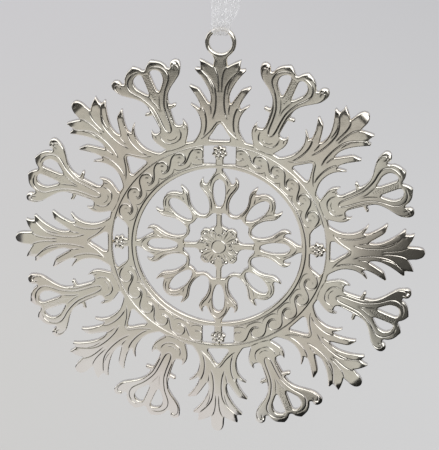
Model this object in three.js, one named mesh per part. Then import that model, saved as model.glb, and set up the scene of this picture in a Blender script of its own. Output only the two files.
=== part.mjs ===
// A flat pierced snowflake ornament of silver-plated metal, hung by its eye on a sheer ribbon.
// Millimetres, +Z up. The plate stands in the XZ plane with its chased front towards -Y.
// The origin is where the ribbon's hanging loop is held, so the ornament hangs below it.
import * as THREE from "three";

// The plate
const plateThickness = 1.2;
const ringOuterRadius = 21.1;
const ringBandWidth = 5;
const seam = 0.04; // clearance between neighbouring elements of the plate
const lilyFootAngle = 5.35; // degrees from a lily's axis to the edge of its foot
const footHeight = 0.9; // how far the petals' feet stand on the ring before they part
const palmetteHeight = 18.85; // ring's edge to tip
const lilyHeight = 18.4;

// The windows in the ring and the flowers in them
const innerRimWidth = 0.8; // ring's inner edge to the foot of the upright windows
const sideInnerRimWidth = 1.68; // the same at the windows on either side
const outerRimWidth = 0.35;
const windowHalfWidth = 3.05;
const sideWindowHalfFoot = 3.3;
const sideWindowHalfTop = 5.4;
const sideWindowCornerDrop = 1; // from the middle of the window's top to its upper corners
const flowerShare = 0.465; // a flower's radius as a share of the lower windows' height
const flowerLobe = 0.14;
const flowerLobes = 7;
const flowerStemHalfWidth = 0.8;

// The middle
const rosetteReach = 4.6; // centre to the corner petals' tips
const barHalfWidth = 0.55;
const barLength = 6.82; // centre to the bars' ends
const scallopAngle = 22.5; // degrees from a tulip's axis to where its scallops meet the next
const topBlockHalfWidth = 0.7; // where an upright tulip meets the ring

// The eye
const eyeHoleRadius = 2.15;
const eyeBarWidth = 0.85;
const neckHalfWidth = 1.25;
const neckLength = 1.7; // north palmette's shoulder to the eye
const neckSeam = 0.12;

// The ribbon
const ribbonWidth = 5.4;
const ribbonThickness = 0.35;
const ribbonClearance = 0.24; // from the corners of the eye's bar to the ribbon
const gatherClearance = 0.19; // from the side of the eye's hole to the gathered ribbon
const ribbonGap = 0.3;
const strandLength = 18;
const knotRadius = 2.9;
const knotFlatness = 0.8; // depth of the knot as a share of its width
const loopHeight = 34;
const loopHalfWidth = 6.5;
const loopLegHalfGap = 0.9; // half the distance between the loop's legs at the knot
const ribbonEndReach = 8;
const ribbonEndDrop = 6.5;

// How finely curves are divided
const ringSegments = 96;
const eyeSegments = 32;
const flowerSegments = 22;
const stepsPerSpan = 1;
const ribbonSides = 8;
const bightSteps = 12;
const loopSteps = 44;
const endSteps = 8;

const silver = { color: 0xc9c4b3, roughness: 0.22, metalness: 1 };
const sheerWhite = { color: 0xf1f1f4, roughness: 0.6, metalness: 0 };
const degree = Math.PI / 180;
const quarter = 90;
const eighth = 45;
const compass = ["n", "ne", "e", "se", "s", "sw", "w", "nw"];
const halfCompass = ["nne", "ene", "ese", "sse", "ssw", "wsw", "wnw", "nnw"];

const ringInnerRadius = ringOuterRadius - ringBandWidth;
const windowFoot = ringInnerRadius + innerRimWidth;
const sideWindowFoot = ringInnerRadius + sideInnerRimWidth;
const windowTop = ringOuterRadius - outerRimWidth;
const flowerRadius = flowerShare * (windowTop - sideWindowFoot);

// Palmette: a fan of lobes, given as the right half from its foot up, by height above the ring.
const palmetteSides = [
  [[5.55, 0.12], [5.0, 0.35], [4.4, 1.25], [3.85, 2.5], [3.68, 3.9], [3.95, 5.4], [4.65, 6.65], [5.7, 7.7]],
  [[5.55, 7.85], [4.75, 7.5], [3.95, 6.95]],
  [[3.95, 6.95], [3.8, 7.65], [4.35, 8.9], [5.1, 10.1], [5.95, 11.25]],
  [[5.75, 11.55], [4.9, 11.3], [4.1, 10.95], [3.3, 9.9], [2.55, 8.75], [2.1, 8.1]],
  [[1.9, 8.3], [1.8, 9.3], [2.1, 10.6], [2.9, 12.15], [3.9, 13.55], [4.9, 14.7]],
  [[4.75, 15.05], [4.2, 15.0], [3.85, 15.05]],
  [[3.85, 15.05], [3.85, 15.8], [4.0, 16.65]],
  [[3.9, 16.72], [3.1, 16.45], [2.2, 16.0], [1.4, 15.5]],
];
const palmetteTip = [[[1.4, 15.5], [1.3, 16.5], [1.25, 17.4], [0.95, 18.25], [0.5, 18.7], [0, 18.85]]];
const palmetteWindow = [
  [[0, 4.05], [0.5, 3.6], [1.2, 2.45], [1.95, 1.3]],
  [[1.95, 0.85], [1.6, 0.65], [0, 0.62]],
];

// Each drawing is made as large as its own size asks.
const drawnHeight = (strokes) => Math.max(...strokes.flat().map((point) => point[1]));
const palmetteScale = palmetteHeight / drawnHeight(palmetteTip);

// Heights above the plate's centre, and the held point above them all
const eyeOuterRadius = eyeHoleRadius + eyeBarWidth;
const palmetteShoulder = palmetteTip[0][0][1] * palmetteScale; // where the north palmette's neck stands
const neckFoot = ringOuterRadius + palmetteShoulder;
const eyeCentre = neckFoot + neckLength + eyeOuterRadius;
const eyeBarHeight = eyeCentre + eyeHoleRadius + eyeBarWidth / 2;
const strandFoot = eyeBarHeight + ribbonGap;
const knotHeight = strandFoot + strandLength + ribbonGap + knotRadius;
const loopFoot = knotHeight + knotRadius + ribbonGap;
const heldHeight = loopFoot + loopHeight - ribbonThickness / 2;

const ornament = new THREE.Group();
ornament.name = "ornament";
const plate = new THREE.Group();
plate.position.z = -heldHeight;
ornament.add(plate);

// Curves through hand-placed points: each stroke is one smooth run, and strokes meet at corners.
function drawStrokes(strokes) {
  const points = [];
  for (const stroke of strokes) {
    const knots = stroke.map(([x, y]) => new THREE.Vector2(x, y));
    const steps = (knots.length - 1) * stepsPerSpan;
    const run = knots.length > 2 ? new THREE.SplineCurve(knots).getPoints(steps) : knots;
    const repeats = points.length > 0 && points.at(-1).distanceTo(run[0]) < 1e-6;
    points.push(...(repeats ? run.slice(1) : run));
  }
  return points;
}

// The right half of an outline, going up, becomes the whole by mirroring it in the axis x = 0.
function mirrored(rightHalf) {
  const leftHalf = rightHalf.map((p) => new THREE.Vector2(-p.x, p.y)).reverse();
  const onAxis = Math.abs(rightHalf.at(-1).x) < 1e-6;
  const closesOnAxis = Math.abs(rightHalf[0].x) < 1e-6;
  const left = leftHalf.slice(onAxis ? 1 : 0, closesOnAxis ? -1 : undefined);
  return [...rightHalf, ...left];
}

function arcPoints(radius, fromAngle, toAngle, segments, centreHeight = 0) {
  return Array.from({ length: segments + 1 }, (_, i) => {
    const a = (fromAngle + ((toAngle - fromAngle) * i) / segments) * degree;
    return new THREE.Vector2(radius * Math.sin(a), centreHeight + radius * Math.cos(a));
  });
}

// An outline in the plate's own plane, pushed through the plate's thickness.
function plateSolid(outline, holes = []) {
  const shape = new THREE.Shape(THREE.ShapeUtils.isClockWise(outline) ? [...outline].reverse() : outline);
  shape.holes = holes.map((points) => new THREE.Path(points));
  const solid = new THREE.ExtrudeGeometry(shape, { depth: plateThickness, bevelEnabled: false, steps: 1 });
  return solid.rotateX(Math.PI / 2).translate(0, plateThickness / 2, 0);
}

function addMesh(parent, name, geometry, finish) {
  const mesh = new THREE.Mesh(geometry, new THREE.MeshStandardMaterial(finish));
  mesh.name = name;
  parent.add(mesh);
  return mesh;
}

// Turned clockwise from the top by a compass angle in degrees, seen from the front.
function addElement(name, geometry, angle) {
  const mesh = addMesh(plate, name, geometry, silver);
  mesh.rotation.y = angle * degree;
  return mesh;
}

// A petal's foot: the arc that sits on the ring, and the straight side where it meets its neighbour.
function footOutline(halfAngle) {
  const footRadius = ringOuterRadius + seam;
  const edge = halfAngle - seam / ringOuterRadius / degree / 2;
  const arc = arcPoints(footRadius, 0, edge, 4);
  const top = ringOuterRadius + footHeight;
  return [...arc, new THREE.Vector2(top * Math.sin(edge * degree), top * Math.cos(edge * degree))];
}

// Points of a petal, given by height above the ring's outer edge, at the petal's size.
function raised(strokes, scale) {
  return strokes.map((stroke) => stroke.map(([x, h]) => [x * scale, ringOuterRadius + h * scale]));
}

function palmetteSolid(hasTip) {
  const foot = footOutline(eighth / 2 - lilyFootAngle);
  const strokes = hasTip ? [...palmetteSides, ...palmetteTip] : palmetteSides;
  const outline = mirrored([...foot, ...drawStrokes(raised(strokes, palmetteScale))]);
  return plateSolid(outline, [mirrored(drawStrokes(raised(palmetteWindow, palmetteScale)))]);
}

// Lily: calyx, stem with two thorns, flared petals and the heart-shaped top with two openings.
const lilySides = [
  [[2.75, 1.75], [3.4, 2.85], [3.65, 3.9], [3.5, 4.8], [3.2, 5.4]],
  [[3.2, 5.4], [3.1, 4.8], [2.75, 4.45], [2.2, 4.45], [1.75, 4.7], [1.6, 5.3]],
  [[1.6, 5.3], [1.7, 6.8], [1.85, 8.1]],
  [[2.4, 8.2], [3.0, 8.3], [3.25, 8.65], [2.9, 8.95], [2.3, 8.9], [2.0, 9.1]],
  [[2.0, 9.1], [2.2, 10.2], [2.75, 11.25], [3.7, 12.2], [4.9, 13.05], [6.0, 13.9], [6.65, 14.8],
    [7.05, 15.9], [6.85, 16.65], [6.2, 17.0], [5.5, 16.85], [5.15, 16.4], [5.0, 15.85]],
  [[4.6, 15.75], [4.35, 16.0]],
  [[4.35, 16.0], [4.1, 16.75], [3.5, 17.5], [2.7, 18.0], [1.85, 18.4]],
  [[1.85, 18.4], [1.2, 18.05], [0.65, 17.55], [0.3, 17.1], [0, 17.0]],
];
const lilyOpening = [
  [[0.8, 15.8], [0.95, 16.3], [1.5, 16.5], [2.2, 16.25], [2.7, 15.7], [2.85, 15.0], [2.65, 14.0],
    [2.05, 13.15], [1.4, 12.4], [1.05, 12.15]],
  [[0.85, 12.5], [0.8, 13.9]],
];

function lilySolid() {
  const scale = lilyHeight / drawnHeight(lilySides);
  const outline = mirrored([...footOutline(lilyFootAngle), ...drawStrokes(raised(lilySides, scale))]);
  const right = drawStrokes(raised(lilyOpening, scale));
  const left = right.map((p) => new THREE.Vector2(-p.x, p.y));
  return plateSolid(outline, [right, left]);
}

// Inner tulips are drawn from the plate's centre, for bars that end and a ring that starts at these radii.
// Their scallops' two edges meet the next tulip's at the other two.
const tulipDrawing = { foot: 6.82, ring: 16.1, scallopInner: 6.24, scallopOuter: 6.92 };

// They stretch between the bars' ends and the ring, and each point keeps its direction from the centre.
function fittedHeight(height) {
  const { foot, ring } = tulipDrawing;
  if (height < foot) return (height * barLength) / foot;
  return barLength + ((height - foot) * (ringInnerRadius - barLength)) / (ring - foot);
}

function fitted(strokes) {
  return strokes.map((stroke) => stroke.map(([x, y]) => [(x * fittedHeight(y)) / y, fittedHeight(y)]));
}

// A scallop ends on the line half way to the next tulip.
function scallopEnd(drawnRadius) {
  const radius = fittedHeight(drawnRadius);
  const across = radius * Math.sin(scallopAngle * degree) - (seam / 2) * Math.cos(scallopAngle * degree);
  const up = radius * Math.cos(scallopAngle * degree) + (seam / 2) * Math.sin(scallopAngle * degree);
  return [across, up];
}

// The right half of a tulip: the scallop's inner edge, then its outer edge and the sides.
function tulipOutline([innerEdge, ...sides]) {
  const [inner, first, ...others] = fitted([innerEdge, ...sides]);
  const innerStroke = [...inner, scallopEnd(tulipDrawing.scallopInner)];
  const outerStroke = [scallopEnd(tulipDrawing.scallopOuter), ...first];
  return drawStrokes([innerStroke, outerStroke, ...others]);
}

function uprightTulipSolid() {
  const top = Math.sqrt((ringInnerRadius - seam) ** 2 - topBlockHalfWidth ** 2);
  const sides = tulipOutline([
    [[1.1, 6.86], [1.5, 6.5], [1.95, 6.05]],
    [[2.3, 6.65], [2.05, 7.1], [1.92, 7.9], [1.95, 8.8], [2.2, 9.7], [2.6, 10.5], [3.15, 11.3], [3.65, 12.0],
      [3.85, 12.7], [3.7, 13.4], [3.35, 13.85], [3.0, 14.05]],
    [[3.0, 14.05], [3.12, 13.5], [2.95, 13.0], [2.6, 12.75]],
    [[2.35, 12.8], [2.0, 13.5], [1.55, 14.3], [1.0, 15.1], [0.75, 15.6]],
  ]);
  const opening = fitted([
    [[0, 8.12], [0.35, 8.2], [0.65, 8.7], [0.95, 9.6], [1.12, 10.7], [1.12, 11.8], [0.98, 12.8], [0.6, 13.5],
      [0, 13.85]],
  ]);
  const outline = [...sides, new THREE.Vector2(topBlockHalfWidth, top)];
  return plateSolid(mirrored(outline), [mirrored(drawStrokes(opening))]);
}

function slantTulipSolid() {
  const sides = tulipOutline([
    [[0, 6.85], [0.6, 6.95], [1.05, 7.0], [1.4, 6.65], [1.85, 6.1]],
    [[2.2, 6.75], [1.95, 7.25], [1.85, 8.1], [1.95, 9.0], [2.25, 9.9], [2.7, 10.65], [3.25, 11.35], [3.6, 12.0],
      [3.68, 12.9], [3.6, 13.6], [3.4, 14.0]],
    [[3.4, 14.0], [3.15, 13.5], [2.95, 12.95], [2.65, 12.7]],
    [[2.35, 12.85], [2.0, 13.45], [1.5, 14.0], [0.9, 14.4], [0.35, 14.55], [0, 14.6]],
  ]);
  const opening = fitted([
    [[0, 7.6], [0.5, 7.95], [0.9, 8.7], [1.2, 9.7], [1.32, 10.7], [1.22, 11.6], [0.98, 12.4], [0.55, 13.1],
      [0, 13.35]],
  ]);
  return plateSolid(mirrored(sides), [mirrored(drawStrokes(opening))]);
}

// Rosette: a bar, a bead and half a corner petal, mirrored and turned four times.
function rosetteSolid() {
  const drawn = [
    [[0.65, 4.4], [1.0, 3.95]],
    [[1.0, 3.95], [1.35, 3.8], [1.7, 3.65], [1.8, 3.4]],
    [[1.8, 3.4], [2.2, 3.58], [2.8, 3.55], [3.25, 3.25]],
  ];
  const scale = rosetteReach / Math.hypot(...drawn.at(-1).at(-1));
  const petal = drawn.map((stroke) => stroke.map(([x, y]) => [x * scale, y * scale]));
  const flareStart = 5 * scale;
  const half = drawStrokes([[[barHalfWidth, barLength], [barHalfWidth, flareStart]], ...petal]);
  const side = [...half.slice(0, -1), ...half.map((p) => new THREE.Vector2(p.y, p.x)).reverse()];
  const centre = new THREE.Vector2();
  const outline = [0, 1, 2, 3].flatMap((turn) =>
    side.map((p) => p.clone().rotateAround(centre, -turn * quarter * degree)),
  );
  return plateSolid(outline);
}

// The windows at either side have slanting ends and a higher foot.
function windowOutline(isSide) {
  const onTop = (halfWidth) => [halfWidth, Math.sqrt(windowTop ** 2 - halfWidth ** 2)];
  if (!isSide) {
    const end = onTop(windowHalfWidth);
    const arch = [end, onTop(windowHalfWidth * 0.52), [0, windowTop]];
    return mirrored(drawStrokes([[[windowHalfWidth, windowFoot], end], arch]));
  }
  const corner = [sideWindowHalfTop, windowTop - sideWindowCornerDrop];
  const alongEnd = (across, up) => [
    sideWindowHalfFoot + (corner[0] - sideWindowHalfFoot) * across,
    sideWindowFoot + (corner[1] - sideWindowFoot) * up,
  ];
  const end = [alongEnd(0, 0), alongEnd(0.4, 0.26), alongEnd(0.74, 0.7), corner];
  const arch = [0.85, 0.59, 0.3, 0].map((share) => onTop(sideWindowHalfTop * share));
  return mirrored(drawStrokes([end, arch]));
}

function ringSolid() {
  const centre = new THREE.Vector2();
  const windows = [0, 1, 2, 3].map((turn) =>
    windowOutline(turn % 2 === 1).map((p) => p.clone().rotateAround(centre, -turn * quarter * degree)),
  );
  const circle = (radius) => arcPoints(radius, 0, 360, ringSegments).slice(0, -1);
  return plateSolid(circle(ringOuterRadius), [circle(ringInnerRadius), ...windows]);
}

function flowerSolid(foot) {
  const centre = windowTop - seam - flowerRadius - flowerLobe;
  const start = 150; // degrees from the top, where the petals meet the stem
  const petals = Array.from({ length: flowerSegments + 1 }, (_, i) => {
    const a = start * (1 - i / flowerSegments);
    const radius = flowerRadius + flowerLobe * Math.cos(flowerLobes * a * degree);
    return new THREE.Vector2(radius * Math.sin(a * degree), centre + radius * Math.cos(a * degree));
  });
  return plateSolid(mirrored([new THREE.Vector2(flowerStemHalfWidth, foot + seam), ...petals]));
}

// The neck is waisted: it widens to the palmette below and to the eye above.
function eyeSolid() {
  const neck = drawStrokes([
    [[neckHalfWidth * 1.1, neckFoot + neckSeam], [neckHalfWidth * 1.04, neckFoot + neckLength * 0.42],
      [neckHalfWidth, neckFoot + neckLength * 0.78], [neckHalfWidth * 1.2, neckFoot + neckLength * 1.16]],
  ]);
  const ring = arcPoints(eyeOuterRadius, 142, 0, eyeSegments / 2, eyeCentre);
  const hole = arcPoints(eyeHoleRadius, 0, 360, eyeSegments, eyeCentre).slice(0, -1);
  return plateSolid(mirrored([...neck, ...ring]), [hole]);
}

addElement("ring_band", ringSolid(), 0);
addElement("centre_rosette", rosetteSolid(), 0);
for (let turn = 0; turn < 4; turn += 1) {
  const name = compass[2 * turn];
  addElement(`ring_flower_${name}`, flowerSolid(turn % 2 === 1 ? sideWindowFoot : windowFoot), turn * quarter);
}
for (let i = 0; i < compass.length; i += 1) {
  const isUpright = i % 2 === 0;
  addElement(`tulip_${compass[i]}`, isUpright ? uprightTulipSolid() : slantTulipSolid(), i * eighth);
  addElement(`palmette_${compass[i]}`, palmetteSolid(i > 0), i * eighth);
  addElement(`lily_${halfCompass[i]}`, lilySolid(), (i + 0.5) * eighth);
}
addElement("hanging_eye", eyeSolid(), 0);

// Ribbon: a bight through the eye, two strands, a knot with two cut ends, and the hanging loop.
const halfThickness = ribbonThickness / 2;
const bendRadius = Math.hypot(plateThickness / 2, eyeBarWidth / 2) + ribbonClearance + halfThickness;
const bightLevel = eyeBarHeight - eyeCentre - bendRadius + halfThickness; // above the eye's centre
const gatheredHalfWidth = Math.sqrt(eyeHoleRadius ** 2 - bightLevel ** 2) - gatherClearance;

function flatSection(halfAcross, halfThrough) {
  return new THREE.Shape(
    Array.from({ length: ribbonSides }, (_, i) => {
      const a = (i * 2 * Math.PI) / ribbonSides;
      return new THREE.Vector2(halfAcross * Math.cos(a), halfThrough * Math.sin(a));
    }),
  );
}

function alongPath(section, path, steps) {
  return new THREE.ExtrudeGeometry(section, { extrudePath: path, steps, bevelEnabled: false });
}

class BightCurve extends THREE.Curve {
  getPoint(t, target = new THREE.Vector3()) {
    const a = t * Math.PI;
    return target.set(0, -bendRadius * Math.cos(a), eyeBarHeight - bendRadius * Math.sin(a));
  }
}

// A teardrop: its legs start close together at the knot, swell apart and round over at the top.
class LoopCurve extends THREE.Curve {
  getPoint(t, target = new THREE.Vector3()) {
    const a = t * Math.PI;
    const rise = Math.sin(a);
    const fullness = 2.1;
    const topTuck = 0.55;
    const swell = fullness * rise ** 2 * (1 - topTuck * rise ** 6);
    const across = loopLegHalfGap + (loopHalfWidth - loopLegHalfGap) * swell;
    return target.set(Math.cos(a) * across, 0, loopFoot + (loopHeight - ribbonThickness) * rise);
  }
}

const bight = alongPath(flatSection(gatheredHalfWidth, halfThickness), new BightCurve(), bightSteps);
addMesh(plate, "ribbon_bight", bight, sheerWhite);

for (const [name, side] of [["front", -1], ["back", 1]]) {
  const section = flatSection(ribbonWidth / 2, halfThickness);
  const strand = new THREE.ExtrudeGeometry(section, { depth: strandLength, steps: 1, bevelEnabled: false });
  const mesh = addMesh(plate, `ribbon_${name}_strand`, strand, sheerWhite);
  mesh.position.set(0, side * bendRadius, strandFoot);
}

const knot = addMesh(plate, "ribbon_knot", new THREE.SphereGeometry(knotRadius, 20, 14), sheerWhite);
knot.position.z = knotHeight;
knot.scale.y = knotFlatness;

const loop = alongPath(flatSection(ribbonWidth / 2, halfThickness), new LoopCurve(), loopSteps);
addMesh(plate, "ribbon_hanging_loop", loop, sheerWhite);

for (const [name, side] of [["left", -1], ["right", 1]]) {
  const start = knotRadius + ribbonGap;
  const curve = new THREE.QuadraticBezierCurve3(
    new THREE.Vector3(side * start, 0, knotHeight),
    new THREE.Vector3(side * (start + ribbonEndReach * 0.6), 0, knotHeight - ribbonEndDrop * 0.15),
    new THREE.Vector3(side * (start + ribbonEndReach), 0, knotHeight - ribbonEndDrop),
  );
  const end = alongPath(flatSection(ribbonWidth / 2, halfThickness), curve, endSteps);
  addMesh(plate, `ribbon_end_${name}`, end, sheerWhite);
}

export default ornament;
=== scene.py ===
import math

import bpy
import numpy as np
from mathutils import Matrix, Vector
from mathutils.geometry import delaunay_2d_cdt
from mathutils.kdtree import KDTree


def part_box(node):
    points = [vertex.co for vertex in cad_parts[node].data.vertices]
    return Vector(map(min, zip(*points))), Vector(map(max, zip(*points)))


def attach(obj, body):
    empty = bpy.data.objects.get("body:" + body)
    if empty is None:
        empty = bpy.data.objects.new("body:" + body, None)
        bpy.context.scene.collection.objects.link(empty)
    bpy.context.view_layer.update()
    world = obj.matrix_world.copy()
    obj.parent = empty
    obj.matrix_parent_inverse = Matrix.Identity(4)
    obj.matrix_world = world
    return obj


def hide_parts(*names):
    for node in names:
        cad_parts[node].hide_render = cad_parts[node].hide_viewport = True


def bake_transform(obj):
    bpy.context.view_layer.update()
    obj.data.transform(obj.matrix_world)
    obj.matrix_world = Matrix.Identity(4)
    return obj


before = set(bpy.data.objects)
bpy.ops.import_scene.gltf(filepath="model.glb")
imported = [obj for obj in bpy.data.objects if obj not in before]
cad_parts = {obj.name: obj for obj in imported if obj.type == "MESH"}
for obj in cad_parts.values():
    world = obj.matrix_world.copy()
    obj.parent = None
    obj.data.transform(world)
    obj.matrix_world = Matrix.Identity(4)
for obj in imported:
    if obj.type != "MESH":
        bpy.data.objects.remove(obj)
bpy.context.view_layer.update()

mm = 0.001  # the drawings are in millimetres
ringLow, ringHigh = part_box("ring_band")
plateCentre = (ringLow + ringHigh) / 2
plateFront = ringLow.y / mm
plateBack = ringHigh.y / mm

# Camera, at the photograph's angle
view = {
    "fromPlate": (42.8301, -468.8791, 189.1717),
    "right": (0.99554406, 0.09396035, 0.00796691),
    "up": (-0.04172711, 0.36319301, 0.93077907),
    "back": (0.0845628, -0.92696402, 0.36549534),
    "lens": 209.0477,
    "sensor": 36.0,
    "clip": (0.01, 20),
}


def makeCamera():
    data = bpy.data.cameras.new("camera")
    data.lens = view["lens"]
    data.sensor_width = view["sensor"]
    data.clip_start, data.clip_end = view["clip"]
    camera = bpy.data.objects.new("camera", data)
    bpy.context.scene.collection.objects.link(camera)
    turn = Matrix((view["right"], view["up"], view["back"])).transposed()
    camera.matrix_world = Matrix.Translation(plateCentre + Vector(view["fromPlate"]) * mm) @ turn.to_4x4()
    bpy.context.scene.camera = camera


makeCamera()
bpy.context.scene.view_settings.view_transform = "Standard"
print("stage: camera placed")


# Node helpers
class Nodes:
    def __init__(self, tree):
        self.tree = tree
        tree.nodes.clear()

    def add(self, kind, inputs=None, **settings):
        node = self.tree.nodes.new(kind)
        for name, value in settings.items():
            setattr(node, name, value)
        for socket, value in (inputs or {}).items():
            target = node.inputs[socket]
            if isinstance(value, bpy.types.NodeSocket):
                self.tree.links.new(value, target)
            else:
                target.default_value = value
        return node

    def math(self, operation, *values):
        return self.add("ShaderNodeMath", dict(enumerate(values)), operation=operation).outputs[0]

    def span(self, value, low, high, toLow=0.0, toHigh=1.0, smooth=False):
        inputs = {"Value": value, "From Min": low, "From Max": high, "To Min": toLow, "To Max": toHigh}
        kind = "SMOOTHSTEP" if smooth else "LINEAR"
        return self.add("ShaderNodeMapRange", inputs, interpolation_type=kind).outputs[0]

    def mix(self, factor, first, second):
        node = self.add("ShaderNodeMix", data_type="RGBA")
        for socket, value in ((node.inputs[0], factor), (node.inputs[6], first), (node.inputs[7], second)):
            if isinstance(value, bpy.types.NodeSocket):
                self.tree.links.new(value, socket)
            else:
                socket.default_value = value
        return node.outputs[2]

    def noise(self, scale, detail, roughness, vector):
        inputs = {"Scale": scale, "Detail": detail, "Roughness": roughness, "Vector": vector}
        return self.add("ShaderNodeTexNoise", inputs).outputs["Fac"]

    def attribute(self, name):
        node = self.add("ShaderNodeAttribute", attribute_name=name, attribute_type="GEOMETRY")
        return node.outputs["Fac"]


def newMaterial(name):
    material = bpy.data.materials.new(name)
    material.use_nodes = True
    return material, Nodes(material.node_tree)


def shown(level):  # a screen level from 0 to 255, as light
    c = level / 255
    return c / 12.92 if c <= 0.04045 else ((c + 0.055) / 1.055) ** 2.4


def tone(red, green, blue):
    return (shown(red), shown(green), shown(blue), 1.0)


# Curves
def runThrough(points, step):
    knots = np.array(points, float)
    if len(knots) == 2:
        count = max(1, math.ceil(np.linalg.norm(knots[1] - knots[0]) / step))
        t = np.linspace(0, 1, count + 1)[:, None]
        return knots[0] * (1 - t) + knots[1] * t
    run = [knots[:1]]
    last = len(knots) - 1
    for i in range(last):
        before, start, end, after = knots[max(i - 1, 0)], knots[i], knots[i + 1], knots[min(i + 2, last)]
        count = max(1, math.ceil(np.linalg.norm(end - start) / step))
        t = np.linspace(0, 1, count + 1)[1:, None]
        leaving, arriving = (end - before) / 2, (after - start) / 2
        cubic = 2 * start - 2 * end + leaving + arriving
        square = -3 * start + 3 * end - 2 * leaving - arriving
        run.append(((cubic * t + square) * t + leaving) * t + start)
    return np.vstack(run)


# Joins strokes into one line. The flags tell free edges from seams
def drawStrokes(strokes, step):
    points, free = [], []
    for stroke in strokes:
        isFree = stroke[0] != "seam"
        run = runThrough(stroke if isFree else stroke[1:], step)
        if points and np.linalg.norm(points[-1] - run[0]) > step * 1.5:
            bridge = runThrough([points[-1], run[0]], step)[1:-1]
            points.extend(bridge)
            free.extend([True] * len(bridge))
        skip = 1 if points and np.linalg.norm(points[-1] - run[0]) < 1e-6 else 0
        points.extend(run[skip:])
        free.extend([isFree] * (len(run) - skip))
    return np.array(points), np.array(free)


# The right half, going up, and its mirror image going down
def mirrored(points, free):
    start = 1 if abs(points[-1][0]) < 1e-6 else 0
    end = -1 if abs(points[0][0]) < 1e-6 else None
    left = (points * (-1, 1))[::-1][start:end]
    return np.vstack([points, left]), np.concatenate([free, free[::-1][start:end]])


def arc(radius, first, last, step, height=0.0):
    count = max(2, math.ceil(radius * math.radians(abs(last - first)) / step))
    a = np.radians(np.linspace(first, last, count + 1))
    return np.column_stack([radius * np.sin(a), height + radius * np.cos(a)])


def turned(points, degrees):  # clockwise, seen from the front
    c, s = math.cos(math.radians(degrees)), math.sin(math.radians(degrees))
    x, y = np.asarray(points, float).T
    return np.column_stack([x * c + y * s, -x * s + y * c])


def raised(strokes, height):
    lift = []
    for stroke in strokes:
        lift.append([p if isinstance(p, str) else (p[0], p[1] + height) for p in stroke])
    return lift


# Chasing: every element of the plate is a closed body with a relief on its front
relief = {
    "outlineStep": 0.15,
    "gridStep": 0.19,
    "gridMargin": 0.62,  # times the step
    "gridRow": 0.866,
    "backStep": 0.9,
    "backMargin": 0.3,
    "edgeRows": (0.045, 0.11, 0.2, 0.3),
    "backRows": (0.07, 0.16),
    "rowShare": 0.9,  # of its offset that a row keeps clear of other edges
    "edgeShares": (0.2, 0.4, 0.6, 0.8),
    "edgeWidth": 0.23,
    "edgeDrop": 0.26,
    "tipWidth": 0.3,
    "tipDrop": 0.22,
    "tipReach": 0.8,
    "rollLength": 1.7,
    "rollDrop": 0.24,
    "rollHalfWidth": 0.9,
    "rollAside": 2,
    "rollNear": (1.4, 0.4),
    "rollLimit": 1.3,
    "backEdgeWidth": 0.16,
    "backEdgeDrop": 0.1,
    "grooveStep": 0.11,
    "grooveFade": 0.9,
    "grooveRows": ((0.5, 0.0), (1.0, 0.0), (1.0, 0.07)),
    "grooveRowShare": 0.85,
    "grooveEdgeShare": 0.6,
    "grooveEndDepth": 0.25,
    "grooveEndWidth": 0.7,
    "grooveWidening": 0.3,
    "grooveShape": 1.25,
    "grooveDepthShare": 0.38,
    "grooveWidthShare": 0.54,
    "leastGap": 0.04,
    "rimStep": 0.04,
    "rimGap": 0.03,
    "leastArea": 1e-6,
    "crown": 0.008,
    "crownWidth": 0.5,
}


def smooth(value):
    t = np.clip(value, 0, 1)
    return t * t * (3 - 2 * t)


def isInside(points, loops):
    inside = np.zeros(len(points), bool)
    for first in range(0, len(points), 4000):
        part = points[first:first + 4000]
        crossings = np.zeros(len(part), int)
        for loop in loops:
            a, b = loop, np.roll(loop, -1, axis=0)
            x, y = part[:, :1], part[:, 1:]
            above = (a[:, 1] > y) != (b[:, 1] > y)
            rise = np.where(b[:, 1] == a[:, 1], 1.0, b[:, 1] - a[:, 1])
            hit = a[:, 0] + (y - a[:, 1]) / rise * (b[:, 0] - a[:, 0])
            crossings += (above & (x < hit)).sum(axis=1)
        inside[first:first + 4000] = crossings % 2 == 1
    return inside


def treeOf(points):
    tree = KDTree(len(points))
    for i, (x, y) in enumerate(points):
        tree.insert((x, y, 0), i)
    tree.balance()
    return tree


def nearest(tree, points):
    found = [tree.find((x, y, 0)) for x, y in points]
    return np.array([f[1] for f in found]), np.array([f[2] for f in found])


def inwardNormals(loop):
    along = np.roll(loop, -1, axis=0) - np.roll(loop, 1, axis=0)
    along /= np.maximum(np.linalg.norm(along, axis=1), 1e-9)[:, None]
    return np.column_stack([-along[:, 1], along[:, 0]])


def signedArea(loop):
    x, y = loop.T
    return 0.5 * np.sum(x * np.roll(y, -1) - np.roll(x, -1) * y)


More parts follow.
